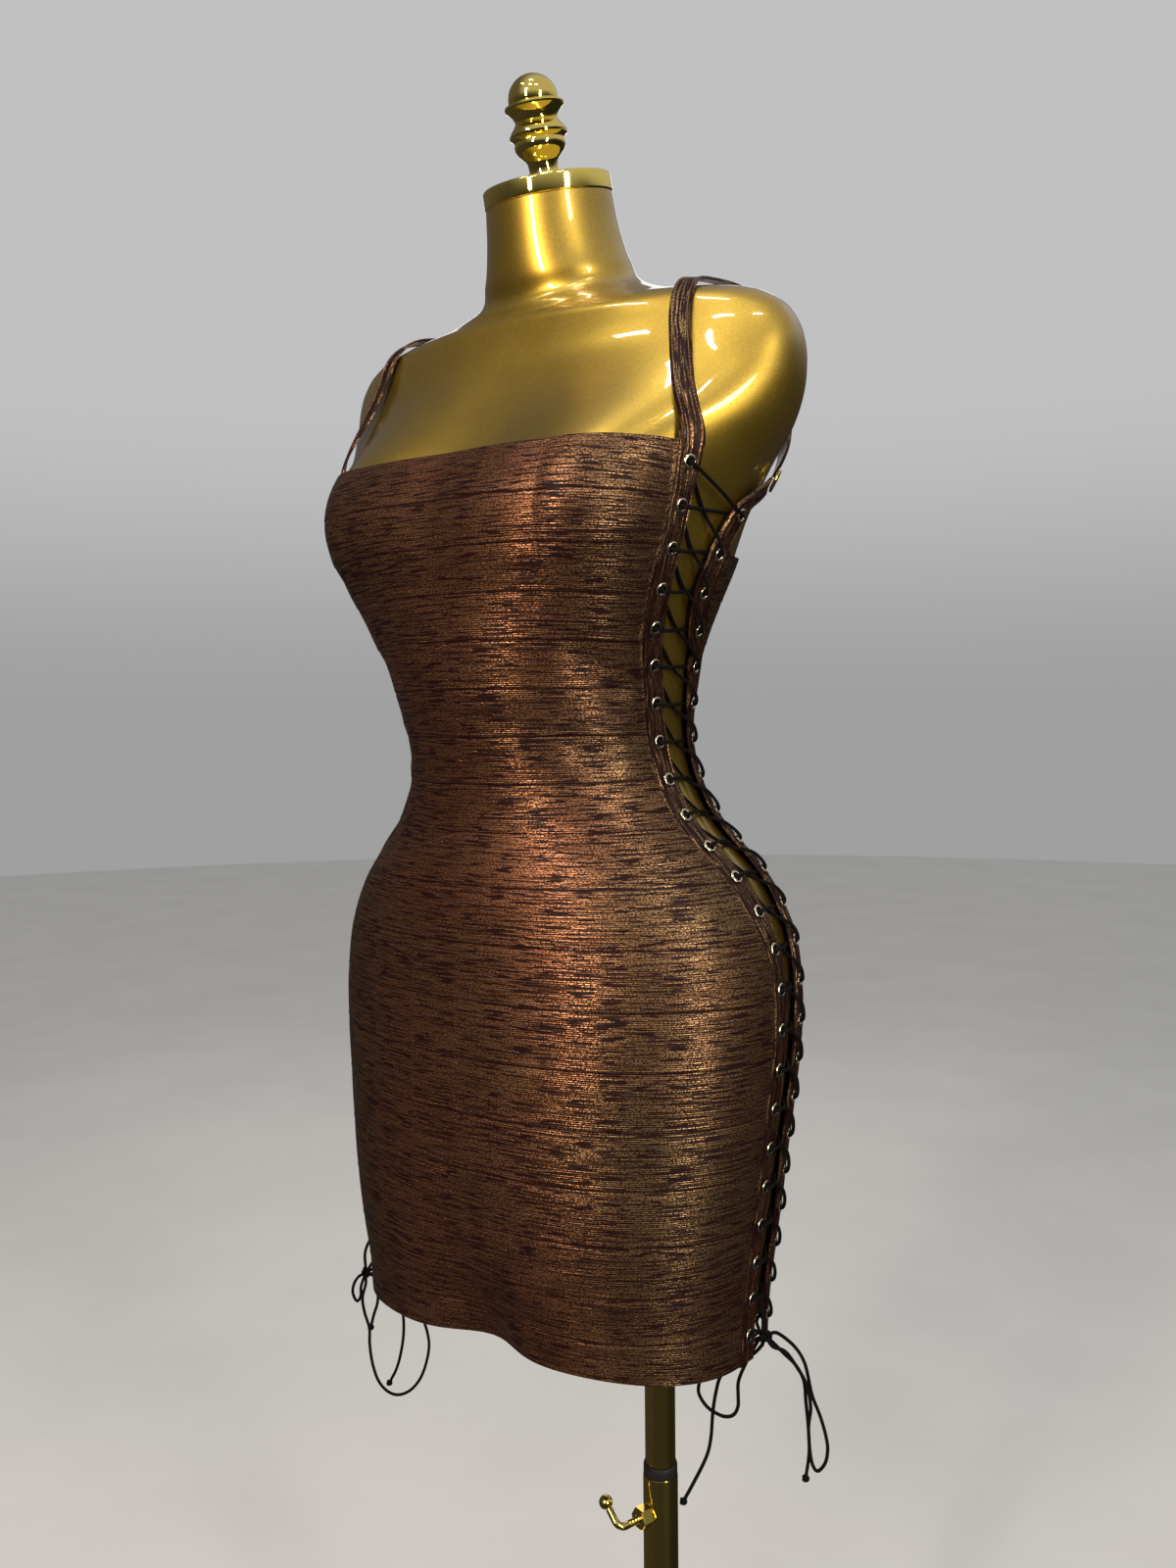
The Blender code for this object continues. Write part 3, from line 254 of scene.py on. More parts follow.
class DressSettings(bpy.types.PropertyGroup):
    """Sizes and colours of the dress and what it stands on."""
    eyelet_radius: bpy.props.FloatProperty(
        name="Eyelet Radius", description="Middle of an eyelet's metal to its centre",
        default=0.0037, min=0.002, max=0.008, unit="LENGTH")
    eyelet_wire: bpy.props.FloatProperty(
        name="Eyelet Metal", description="Half the width of an eyelet's metal",
        default=0.0011, min=0.0003, max=0.003, unit="LENGTH")
    stitch_length: bpy.props.FloatProperty(
        name="Stitch Length", description="Length of one stitch on the straps",
        default=0.0019, min=0.0005, max=0.005, unit="LENGTH")
    ground_colour: bpy.props.FloatVectorProperty(
        name="Ground", description="Colour of the bare knit under the foil",
        default=(0.014, 0.0032, 0.0032), size=3, subtype="COLOR")
    foil_colour: bpy.props.FloatVectorProperty(
        name="Foil", description="Colour of the printed foil",
        default=(0.42, 0.180, 0.092), size=3, subtype="COLOR")
    gold_colour: bpy.props.FloatVectorProperty(
        name="Gold Paint", description="Colour of the painted form",
        default=(0.55, 0.37, 0.050), size=3, subtype="COLOR")
    brass_colour: bpy.props.FloatVectorProperty(
        name="Brass", description="Colour of the plated metal",
        default=(0.90, 0.69, 0.17), size=3, subtype="COLOR")
    lace_colour: bpy.props.FloatVectorProperty(
        name="Lace", description="Colour of the round cord",
        default=(0.004, 0.003, 0.0034), size=3, subtype="COLOR")


def settings():
    """The values of the sidebar panel."""
    return bpy.context.scene.dress_settings


# ---- shapes ---------------------------------------------------------------------------
def ease(share):
    """A share from 0 to 1 with soft ends."""
    share = np.clip(share, 0.0, 1.0)
    return share * share * (3 - 2 * share)


def smooth_rows(place, places, values, slopes):
    """Values between the rows of a table, on a smooth curve through the rows."""
    place = np.clip(place, places[0], places[-1])
    index = np.clip(np.searchsorted(places, place, side="right") - 1, 0, len(places) - 2)
    step = (places[index + 1] - places[index])[..., None]
    share = (place - places[index])[..., None] / step
    square, cube = share ** 2, share ** 3
    return ((2 * cube - 3 * square + 1) * values[index] + (cube - 2 * square + share) * step
            * slopes[index] + (3 * square - 2 * cube) * values[index + 1]
            + (cube - square) * step * slopes[index + 1])


def figure_point(angle, z, bridged=False):
    """Points of the figure in millimetres; the angle runs from the front to the left."""
    angle, z = np.broadcast_arrays(np.asarray(angle, float), np.asarray(z, float))
    ring = smooth_rows(z, FIGURE[:, 0], FIGURE[:, 1:], FIGURE_SLOPES)
    (half, front, back, front_square, back_square, hollow, tilt,
     middle) = np.moveaxis(ring, -1, 0)
    turn = np.radians(angle)
    sine, cosine = np.sin(turn), np.cos(turn)
    ahead = cosine > 0
    square = np.where(ahead, front_square, back_square)
    depth = np.where(ahead, front, back)
    x = half * np.sign(sine) * np.abs(sine) ** (2 / square)
    y = -depth * np.sign(cosine) * np.abs(cosine) ** (2 / square)
    weights = []
    for side in (-1, 1):
        across = (x - side * BUST_X) / BUST_WIDE
        if bridged:
            across = np.where(x * side < BUST_X, 0.35 * across, across)
        weights.append(np.exp(-across ** 2 - ((z - BUST_Z) / BUST_TALL) ** 2))
    power = BUST_LEVEL if bridged else 1
    together = (weights[0] ** power + weights[1] ** power) ** (1 / power)
    y = y - BUST_OUT * ease(1.6 * cosine) * together
    x = x + np.where(ahead, BUST_SPREAD * (weights[1] - weights[0]), 0.0)
    y = y + np.where(ahead, hollow * np.exp(-(x / HOLLOW_HALF) ** 2), 0.0)
    return np.stack([x, y + middle, z + y * np.tan(np.radians(tilt))], axis=-1)


def figure_normal(angle, z, bridged=False):
    """The outward directions of the figure's surface."""
    around = figure_point(angle + 1.5, z, bridged) - figure_point(angle - 1.5, z, bridged)
    upward = figure_point(angle, z + 5, bridged) - figure_point(angle, z - 5, bridged)
    normal = np.cross(around, upward)
    return normal / np.linalg.norm(normal, axis=-1, keepdims=True)


def over_figure(angle, z, lift):
    """Points of the cloth, which bridges hollows but never dips into the figure."""
    bridged = figure_point(angle, z, True)
    normal = figure_normal(angle, z, True)
    rise = np.zeros(bridged.shape[:-1])
    for place in np.ndindex(*rise.shape):
        way = Vector(normal[place])
        start = Vector(bridged[place])
        spot, _, _, _ = SURFACE["figure"].ray_cast((start + PROBE * way) * MM, -way)
        if spot is not None:
            rise[place] = max(0.0, (spot / MM - start).dot(way))
    return bridged + (rise + lift)[..., None] * normal


def soft_route(points, step):
    """A smooth curve through points, with a point every step."""
    padded = [2 * points[0] - points[1], *points, 2 * points[-1] - points[-2]]
    curve = []
    for before, start, end, after in zip(padded, padded[1:], padded[2:], padded[3:]):
        spans = [max(1e-6, (q - p).length ** 0.5)
                 for p, q in ((before, start), (start, end), (end, after))]
        leave = ((start - before) / spans[0] - (end - before) / (spans[0] + spans[1])
                 + (end - start) / spans[1]) * spans[1]
        arrive = ((end - start) / spans[1] - (after - start) / (spans[1] + spans[2])
                  + (after - end) / spans[2]) * spans[1]
        for i in range(12):
            t = i / 12
            curve.append((2 * t ** 3 - 3 * t ** 2 + 1) * start
                         + (t ** 3 - 2 * t ** 2 + t) * leave
                         + (3 * t ** 2 - 2 * t ** 3) * end + (t ** 3 - t ** 2) * arrive)
    return even_points(curve + [points[-1]], step)


def even_points(points, step):
    """Points spread evenly along a chain of points."""
    lengths = [(b - a).length for a, b in zip(points, points[1:])]
    marks = np.concatenate([[0.0], np.cumsum(lengths)])
    count = max(2, int(round(marks[-1] / step)) + 1)
    table = np.array([tuple(p) for p in points])
    spots = np.linspace(0.0, marks[-1], count)
    return [Vector(p) for p in zip(*(np.interp(spots, marks, column) for column in table.T))]


def chain_length(points):
    """The length of a chain of points."""
    return sum((b - a).length for a, b in zip(points, points[1:]))


# ---- meshes ---------------------------------------------------------------------------
def add_object(name, mesh, material, node_names, body):
    """Put a mesh in the scene as a piece that stands for CAD nodes on a body."""
    item = bpy.data.objects.new(name, mesh)
    bpy.context.scene.collection.objects.link(item)
    item.data.materials.clear()
    item.data.materials.append(material)
    if node_names:
        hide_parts(*node_names)
    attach(item, body)
    return item


def new_mesh(name, data, outward=False):
    """A mesh of bmesh data, which is then freed; its faces can be turned outwards."""
    if outward:
        bmesh.ops.recalc_face_normals(data, faces=data.faces[:])
    mesh = bpy.data.meshes.new(name)
    data.to_mesh(mesh)
    data.free()
    return mesh


def faced_outwards(mesh):
    """Turn the faces of a closed mesh outwards."""
    data = bmesh.new()
    data.from_mesh(mesh)
    bmesh.ops.recalc_face_normals(data, faces=data.faces[:])
    data.to_mesh(mesh)
    data.free()
    return mesh


def soften(mesh, angle):
    """Smooth shading with sharp edges where faces meet at more than an angle."""
    data = bmesh.new()
    data.from_mesh(mesh)
    limit = math.radians(angle)
    for face in data.faces:
        face.smooth = True
    for edge in data.edges:
        edge.smooth = not edge.is_manifold or edge.calc_face_angle(0.0) < limit
    data.to_mesh(mesh)
    data.free()
    return mesh


def mesh_from_rings(name, rings, uv=None):
    """A mesh through rings of points in millimetres, closed at both ends.

    The UV map holds one pair more than the points of each ring, where its seam is.
    """
    rings = np.asarray(rings, float)
    count, across = rings.shape[:2]
    vertices = (rings.reshape(-1, 3) * MM).tolist()
    faces, corners = [], []
    for i in range(count - 1):
        for j in range(across):
            k = (j + 1) % across
            faces.append((i * across + j, i * across + k, (i + 1) * across + k,
                          (i + 1) * across + j))
            corners.append(((i, j), (i, j + 1), (i + 1, j + 1), (i + 1, j)))
    for i, turn in ((0, -1), (count - 1, 1)):
        middle = len(vertices)
        vertices.append((rings[i].mean(axis=0) * MM).tolist())
        for j in range(across):
            k = (j + 1) % across
            pair = (i * across + j, i * across + k)[::turn]
            faces.append((*pair, middle))
            corners.append(((i, j), (i, j), (i, j)))
    mesh = bpy.data.meshes.new(name)
    mesh.from_pydata(vertices, [], faces)
    if uv is not None:
        uv = np.asarray(uv, float) * MM
        layer = mesh.uv_layers.new(name="cut")
        flat = [tuple(uv[i, j]) for face in corners for i, j in face]
        layer.data.foreach_set("uv", np.array(flat).ravel())
    return mesh


def turned_mesh(name, profile, steps, place):
    """A solid turned from a profile of radius and height pairs, in millimetres."""
    data = bmesh.new()
    rings = []
    for radius, height in profile:
        rings.append([data.verts.new((radius * MM * math.cos(2 * math.pi * i / steps),
                                      radius * MM * math.sin(2 * math.pi * i / steps),
                                      height * MM)) for i in range(steps)]
                     if radius > 1e-6 else [data.verts.new((0, 0, height * MM))])
    for low, high in zip(rings, rings[1:] + rings[:1]):
        for i in range(steps):
            k = (i + 1) % steps
            corners = [low[i % len(low)], low[k % len(low)], high[k % len(high)],
                       high[i % len(high)]]
            corners = [v for n, v in enumerate(corners) if v not in corners[:n]]
            if len(corners) > 2:
                data.faces.new(corners)
    data.transform(place)
    return soften(new_mesh(name, data, outward=True), 32)


def rings_along(points, radius_at, sides):
    """Rings round a chain of points in millimetres, and how far along it each one is."""
    count = len(points)
    turns = [2 * math.pi * j / sides for j in range(sides)]
    across = (points[1] - points[0]).orthogonal().normalized()
    rings, runs, run = [], [], 0.0
    for i, point in enumerate(points):
        way = (points[min(i + 1, count - 1)] - points[max(i - 1, 0)]).normalized()
        across = (across - across.dot(way) * way).normalized()
        up = way.cross(across)
        run += (point - points[i - 1]).length if i else 0.0
        rings.append([point + radius_at(run, turn) * (math.cos(turn) * across
                                                      + math.sin(turn) * up)
                      for turn in turns])
        runs.append(run)
    return rings, runs


def tube_mesh(name, points, radius, sides):
    """A round cord along points in metres, with its length and girth as its UV map."""
    rings, runs = rings_along([point / MM for point in points], lambda run, turn: radius,
                              sides)
    girth = [2 * math.pi * radius * j / sides for j in range(sides + 1)]
    uv = [[(run, around) for around in girth] for run in runs]
    return soften(mesh_from_rings(name, rings, uv), 60)


def joined(name, meshes):
    """Several meshes as one."""
    data = bmesh.new()
    for mesh in meshes:
        data.from_mesh(mesh)
    return new_mesh(name, data)


def cut_away(item, cutter):
    """Cut one mesh out of an object for good."""
    tool = bpy.data.objects.new("cutter", cutter)
    bpy.context.scene.collection.objects.link(tool)
    modifier = item.modifiers.new("cut", "BOOLEAN")
    modifier.operation = "DIFFERENCE"
    modifier.solver = "EXACT"
    modifier.object = tool
    graph = bpy.context.evaluated_depsgraph_get()
    mesh = bpy.data.meshes.new_from_object(item.evaluated_get(graph))
    item.modifiers.clear()
    item.data = mesh
    bpy.data.objects.remove(tool)


def copies_along(name, places, ways, material, shape, sizes):
    """Geometry Nodes put a copy of a shape at each place, its Z turned along its way.

    Places and ways are the wearer's left ones and are mirrored.  The sizes are the tree's
    named inputs; shape makes the one that is copied from them and returns its last node.
    """
    mesh = bpy.data.meshes.new(f"{name} Places")
    mesh.from_pydata([tuple(place) for place in places + mirrored(places)], [], [])
    layer = mesh.attributes.new("way", "FLOAT_VECTOR", "POINT")
    layer.data.foreach_set("vector", [part for way in ways + mirrored(ways) for part in way])
    item = bpy.data.objects.new(name, mesh)
    bpy.context.scene.collection.objects.link(item)
    tree = bpy.data.node_groups.new(name, "GeometryNodeTree")
    tree.interface.new_socket("Geometry", in_out="INPUT", socket_type="NodeSocketGeometry")
    sockets = [tree.interface.new_socket(label, in_out="INPUT",
                                         socket_type="NodeSocketFloat") for label in sizes]
    tree.interface.new_socket("Geometry", in_out="OUTPUT", socket_type="NodeSocketGeometry")
    start, end = tree.nodes.new("NodeGroupInput"), tree.nodes.new("NodeGroupOutput")
    named = add_node(tree, "GeometryNodeInputNamedAttribute", {"Name": "way"},
                     data_type="FLOAT_VECTOR")
    turn = add_node(tree, "FunctionNodeAlignRotationToVector", {"Vector": named.outputs[0]},
                    axis="Z")
    copies = add_node(tree, "GeometryNodeInstanceOnPoints",
                      {"Points": start.outputs[0], "Rotation": turn.outputs[0],
                       "Instance": shape(tree, start.outputs).outputs[0]})
    real = add_node(tree, "GeometryNodeRealizeInstances", {"Geometry": copies.outputs[0]})
    finish = add_node(tree, "GeometryNodeSetMaterial",
                      {"Geometry": real.outputs[0], "Material": material})
    tree.links.new(finish.outputs[0], end.inputs[0])
    modifier = item.modifiers.new(name, "NODES")
    modifier.node_group = tree
    for socket, size in zip(sockets, sizes.values()):
        modifier[socket.identifier] = size
    graph = bpy.context.evaluated_depsgraph_get()
    result = bpy.data.meshes.new_from_object(item.evaluated_get(graph))
    bpy.data.objects.remove(item)
    return soften(result, 60)


SURFACE = {}                        # the figure and what stands on it, worked out once


def make_figure_mesh():
    """The smooth surface of the figure, with a rounded lower edge."""
    angles = np.arange(144) * 2.5
    top = FIGURE[-1, 0]
    heights = np.concatenate([np.arange(FORM_BOTTOM + EDGE_ROUND, STEEP_FROM, 5.0),
                              np.arange(STEEP_FROM, top, 2.5), [top]])
    rings = []
    for turn in np.radians((0, 30, 60)):
        lower = figure_point(angles, FORM_BOTTOM + EDGE_ROUND * (1 - math.cos(turn)))
        inset = EDGE_ROUND * (1 - math.sin(turn))
        flat = lower * (1, 1, 0)
        rings.append(lower - inset * flat / np.linalg.norm(flat, axis=-1, keepdims=True))
    rings += [figure_point(angles, z) for z in heights]
    mesh = mesh_from_rings("dress_form_smooth", rings)
    SURFACE["figure"] = BVHTree.FromPolygons([v.co.copy() for v in mesh.vertices],
                                             [list(p.vertices) for p in mesh.polygons])
    return mesh


# ---- bands and straps -------------------------------------------------------------------
Band = namedtuple("Band", "centres normals sides halves")      # rows from the hem upwards


def lace_angle(z, column):
    """Degrees round to a row of eyelets at a height; column 0 is the front row."""
    return smooth_rows(np.asarray(z, float), LACE_PLACES[:, 0], LACE_PLACES[:, 1:],
                       LACE_SLOPES)[..., column]


def band_along(centres, normals, halves):
    """A band through its centres, with the direction across it at each row."""
    along = np.gradient(centres, axis=0)
    along /= np.linalg.norm(along, axis=-1, keepdims=True)
    normals = normals - (normals * along).sum(-1, keepdims=True) * along
    normals /= np.linalg.norm(normals, axis=-1, keepdims=True)
    return Band(centres, normals, np.cross(along, normals), halves)


def softened(values, reach):
    """Values averaged with their neighbours along the rows."""
    kernel = np.hanning(2 * reach + 3)[1:-1]
    kernel /= kernel.sum()
    padded = np.concatenate([values[:1]] * reach + [values] + [values[-1:]] * reach)
    return np.stack([np.convolve(column, kernel, "valid") for column in padded.T], axis=1)


def band_route(column, top, route):
    """The left band along one row of eyelets and on along its route over the figure."""
    heights = np.linspace(BAND_FOOT, top, int((top - BAND_FOOT) / ROW_STEP))
    angles = lace_angle(heights, column)
    lifts = BAND_LIFT + TOP_LIFT * np.clip((heights - top) / TOP_RUN + 1, 0, 1)
    centres = over_figure(angles, heights, lifts)
    normals = figure_normal(angles, heights, True)
    corners = [Vector(centres[-1])] + [Vector(point) for point in route]
    places, facings = [], []
    for point in soft_route(corners, ROW_STEP)[1:]:
        spot, facing, _, _ = SURFACE["figure"].find_nearest(point * MM)
        places.append(np.array(spot) / MM)
        facings.append(np.array(facing))
    facings = softened(np.array(facings), 6)
    facings /= np.linalg.norm(facings, axis=-1, keepdims=True)
    beyond = np.arange(1, len(places) + 1) * ROW_STEP
    share = ease(beyond / STRAP_RUN)[:, None]
    lift = BAND_LIFT + TOP_LIFT * (1 - share) + share * (STRAP_LIFT - BAND_LIFT)
    places = np.array(places) + lift * facings
    centres = np.concatenate([centres, places])
    centres[len(heights) - 6:] = softened(centres, 5)[len(heights) - 6:]
    normals = softened(np.concatenate([normals, facings]), 4)
    run = np.concatenate([np.zeros(len(heights)), beyond])
    halves = BAND_HALF + (STRAP_HALF - BAND_HALF) * ease(run / TAPER_RUN)
    return band_along(centres, normals, halves), len(heights)


def band_spot(band, count, z):
    """Centre and normal of the laced part of a band at a height, in millimetres."""
    heights = band.centres[:count, 2]
    centre = [np.interp(z, heights, band.centres[:count, k]) for k in range(3)]
    normal = [np.interp(z, heights, band.normals[:count, k]) for k in range(3)]
    return Vector(centre), Vector(normal).normalized()


def eyelet_heights(band, count):
    """Heights of the front eyelets, evenly spaced along the band."""
    inside = [z for z in band.centres[:count, 2] if FIRST_EYELET > z > LAST_EYELET]
    chain = [band_spot(band, count, z)[0]
             for z in [FIRST_EYELET] + inside[::-1] + [LAST_EYELET]]
    return [p.z for p in even_points(chain, chain_length(chain) / (EYELETS - 1))]


def band_shell(name, band, eyelet_rows):
    """The wall of a band: ribs along it, a rolled edge, and puffs between the eyelets."""
    across = np.linspace(-1, 1, 25)
    edge = 1 - ease((np.abs(across) - 0.86) / 0.14) * 0.55
    rib = 0.20 * np.cos(np.pi * BAND_RIBS * across) * (np.abs(across) < 0.8)
    roll = 0.55 * np.exp(-((np.abs(across) - 0.84) / 0.07) ** 2)
    steps = np.linalg.norm(np.diff(band.centres, axis=0), axis=1)
    run = np.concatenate([[0], np.cumsum(steps)])
    rings, uv = [], []
    for i, (centre, normal, side, half) in enumerate(zip(*band)):
        gap = min(abs(centre[2] - z) for z in eyelet_rows)
        inside = eyelet_rows[-1] - 4 < centre[2] < eyelet_rows[0] + 10
        puff = float(ease(gap / 11)) if inside else 0.0
        pinch = 1 - 0.07 * puff
        bulge = 0.85 * puff * (1 - across ** 2)
        height = (WALL + rib + roll * edge + bulge) * edge
        top = centre + (half * pinch * across)[:, None] * side + height[:, None] * normal
        under = across[::-4]
        low = centre + (half * pinch * under)[:, None] * side
        rings.append(np.concatenate([top, low]))
        spread = np.concatenate([across, under])
        spread = np.append(spread, spread[0])
        uv.append(np.stack([np.full(len(spread), run[i]), spread * half], axis=1))
    return faced_outwards(mesh_from_rings(name, rings, uv))


def mirrored_mesh(mesh, name):
    """A mesh carried over to the wearer's right."""
    data = bmesh.new()
    data.from_mesh(mesh)
    data.transform(Matrix.Scale(-1, 4, (1, 0, 0)))
    bmesh.ops.reverse_faces(data, faces=data.faces[:])
    return new_mesh(name, data)


def mirrored(vectors):
    """Points or directions carried over to the wearer's right."""
    return [Vector((-v.x, v.y, v.z)) for v in vectors]


def hole_cutters(spots):
    """One mesh of the holes under all eyelets of a band."""
    data = bmesh.new()
    for centre, normal in spots:
        turn = normal.to_track_quat("Z", "X").to_matrix().to_4x4()
        bmesh.ops.create_cone(data, cap_ends=True, segments=14, radius1=HOLE_RADIUS * MM,
                              radius2=HOLE_RADIUS * MM, depth=HOLE_DEPTH * MM,
                              matrix=Matrix.Translation(centre * MM) @ turn)
    return new_mesh("holes", data)


# ---- panels -----------------------------------------------------------------------------
def seam_relief(z, top):
    """Height of the cloth at a height: soft strips with a raised edge over each seam."""
    seams = FIGURE[:top, 0]
    nearest = np.abs(z[..., None] - seams).min(axis=-1)
    relief = 0.16 * ease(nearest / 9) - 0.08
    for seam in seams[1:-1]:
        relief += 0.26 * np.exp(-((z - seam - 1.3) / 0.9) ** 2)
        relief -= 0.26 * np.exp(-((z - seam + 0.7) / 0.7) ** 2)
    return relief


def seam_lines(z, top):
    """How near each height is to a seam, 1 in its groove."""
    seams = FIGURE[1:top - 1, 0]
    return np.exp(-((z[..., None] - seams + 0.3) / 0.6) ** 2).max(axis=-1)


def crease_relief(points):
    """Depth of the soft creases at points of a panel."""
    relief = np.zeros(points.shape[:-1])
    for crease in CREASES:
        start = figure_point(crease.angle_1, crease.z_1)
        end = figure_point(crease.angle_2, crease.z_2)
        way = end - start
        length = np.linalg.norm(way)
        run = ((points - start) @ way) / length ** 2
        off = points - (start + np.clip(run, 0, 1)[..., None] * way)
        level = off[..., 2]
        near = np.linalg.norm(off[..., :2], axis=-1) < CREASE_REACH
        fade = ease((run + 0.15) / 0.35) * ease((1.15 - run) / 0.45)
        trough = np.exp(-(level / crease.width) ** 2)
        ridge = np.exp(-((level - 1.5 * crease.width) / crease.width) ** 2)
        relief += near * fade * crease.depth * (0.75 * ridge - trough)
    return relief


def edge_angles(z, edge, guess):
    """The angles at which the figure's surface meets a band's edge at some heights."""
    target = np.stack([np.interp(z, edge[:, 2], edge[:, k]) for k in range(3)], axis=1)
    trial = guess[:, None] + np.linspace(-EDGE_SEARCH, EDGE_SEARCH, EDGE_TRIALS)
    normal = figure_normal(trial, z[:, None], True)
    spots = figure_point(trial, z[:, None], True) + BAND_LIFT * normal
    gaps = np.linalg.norm((spots - target[:, None])[..., :2], axis=-1)
    best = np.take_along_axis(trial, gaps.argmin(axis=1)[:, None], axis=1)[:, 0]
    return softened(best[:, None], 3)[:, 0], target


def panel_rows(top):
    """Heights of the rows of a panel, close together at each seam."""
    seams = FIGURE[:top, 0]
    heights = []
    for low, high in zip(seams, seams[1:]):
        heights += [low + mark for mark in SEAM_MARKS if mark < high - low - 2.6]
        heights += [high - 1.8, high - 0.9]
    return np.array(heights + [seams[-1]])


def panel_mesh(name, top, columns, edges, guesses):
    """One panel between two bands: a thin wall over the figure with its seams."""
    z = panel_rows(top)
    (first, first_edge), (last, last_edge) = [edge_angles(z, edge, guess(z))
                                              for edge, guess in zip(edges, guesses)]
    share = np.linspace(0, 1, columns + 1)
    angle = first[:, None] + (last - first)[:, None] * share
    level = np.repeat(z[:, None], columns + 1, axis=1)
    cosine = np.maximum(0.0, np.cos(np.radians(angle)))
    hem = np.exp(-((level - FIGURE[0, 0]) / 30) ** 2)
    height = level + HEM_RISE * hem * cosine ** 1.4
    run = np.minimum(angle - first[:, None], last[:, None] - angle)
    lift = BAND_LIFT + (CLOTH_LIFT - BAND_LIFT) * ease(run / LIFT_RUN)
    base = over_figure(angle, height, lift)
    base[:, 0], base[:, -1] = first_edge, last_edge
    normal = figure_normal(angle, height, True)
    tight = ease(run / 5)
    relief = (seam_relief(level, top) + crease_relief(base)) * (0.25 + 0.75 * tight)
    outer = base + (WALL + relief)[..., None] * normal
    inner = base + np.minimum(0.0, relief + DEEP_CREASE)[..., None] * normal
    width = np.linalg.norm(np.diff(base, axis=1), axis=-1)
    u = np.concatenate([np.zeros((len(z), 1)), np.cumsum(width, axis=1)], axis=1)
    u -= u[:, columns // 2][:, None]
    tall = np.linalg.norm(np.diff(base[:, columns // 2], axis=0), axis=-1)
    v = np.concatenate([[0], np.cumsum(tall)])[:, None] + np.zeros_like(u)
    return shell_mesh(name, outer, inner, np.stack([u, v], axis=-1), seam_lines(level, top))


def shell_mesh(name, outer, inner, uv, lines):
    """A closed thin wall between two grids of points, with the seams marked on it."""
    rows, columns = outer.shape[:2]
    count = rows * columns
    vertices = np.concatenate([outer.reshape(-1, 3), inner.reshape(-1, 3)]) * MM
    faces = []
    for i in range(rows - 1):
        for j in range(columns - 1):
            a, b = i * columns + j, (i + 1) * columns + j
            faces.append((a, a + 1, b + 1, b))
            faces.append((count + a, count + b, count + b + 1, count + a + 1))
    loop = (list(range(columns)) + [(i + 1) * columns - 1 for i in range(1, rows)]
            + [(rows - 1) * columns + j for j in range(columns - 2, -1, -1)]
            + [i * columns for i in range(rows - 2, 0, -1)])
    for a, b in zip(loop, loop[1:] + loop[:1]):
        faces.append((b, a, count + a, count + b))
    mesh = bpy.data.meshes.new(name)
    mesh.from_pydata(vertices.tolist(), [], faces)
    layer = mesh.uv_layers.new(name="cut")
    flat = uv.reshape(-1, 2) * MM
    corners = np.array([v % count for face in faces for v in face])
    layer.data.foreach_set("uv", flat[corners].ravel())
    marks = mesh.attributes.new("seam", "FLOAT", "POINT")
    marks.data.foreach_set("value", np.tile(lines.ravel(), 2))
    return soften(faced_outwards(mesh), 55)


# ---- lacing -----------------------------------------------------------------------------
def seated(point, way, normal, height):
    """A point at a height over the figure, clear of it a little before and behind too."""
    levels = []
    for reach in (-6, 0, 6):
        start = point + reach * way.normalized() + PROBE * normal
        spot, _, _, _ = SURFACE["figure"].ray_cast(start * MM, -normal)
        levels.append((spot / MM - point).dot(normal))
    return point + (max(levels) + height) * normal


def past_eyelet(spot):
    """The two points of a strand that goes in through an eyelet."""
    return [spot[0] + (height - BAND_LIFT) * spot[1]
            for height in (OUTER_STRAND, INNER_STRAND)]


def lace_route(front, back):
    """The whole cord of one side, criss-crossed, with its middle at the top eyelet."""
    def clear_share(spots, i, way):
        """The share of a way from an eyelet at which it has left the eyelet's band."""
        along = spots[min(i + 1, len(spots) - 1)][0] - spots[max(i - 1, 0)][0]
        return BAND_EDGE / way.cross(along.normalized()).length

    def over_band(spot, offset, height):
        """A point over the edge of the flat band, beside one of its eyelets."""
        flat = offset - offset.dot(spot[1]) * spot[1]
        return spot[0] + flat + (height - BAND_LIFT) * spot[1]

    def over_marks(start, end, marks):
        """Points between two eyelets, each mark a share of the way and a height."""
        way = end[0] - start[0]
        points = []
        for share, height in marks:
            normal = start[1].lerp(end[1], share).normalized()
            points.append(seated(start[0] + share * way, way, normal, height))
        return points

    def diagonal(i):
        """From inside a front eyelet down over the edge of the back band."""
        way = back[i][0] - front[i - 1][0]
        first, last = clear_share(front, i - 1, way), 1 - clear_share(back, i, way)
        marks = ((first, INNER_STRAND), (0.45 * first + 0.55 * last, INNER_STRAND))
        return (over_marks(front[i - 1], back[i], marks)
                + [over_band(back[i], (last - 1) * way, OUTER_STRAND + 1)])

    def level(i):
        """From inside a back eyelet straight across over the edge of the front band."""
        way = front[i + 1][0] - back[i][0]
        first, last = clear_share(back, i, way), 1 - clear_share(front, i + 1, way)
        marks = ((first, INNER_STRAND), (0.5 * (first + last), CROSSING))
        return (over_marks(back[i], front[i + 1], marks)
                + [over_band(front[i + 1], (last - 1) * way, OUTER_STRAND)])

    def strand(first):
        """One half of the cord, from the first back eyelet that it enters."""
        points = []
        for i in range(first, len(back), 2):
            if i > 0:
                points += diagonal(i)
            points += past_eyelet(back[i]) + level(i) + past_eyelet(front[i + 1])
        return points

    marks = ((0.25, OUTER_STRAND), (0.5, OUTER_STRAND), (0.75, OUTER_STRAND))
    outer_half = over_marks(front[0], back[0], marks) + strand(0)
    return outer_half[::-1] + past_eyelet(front[0]) + strand(1)


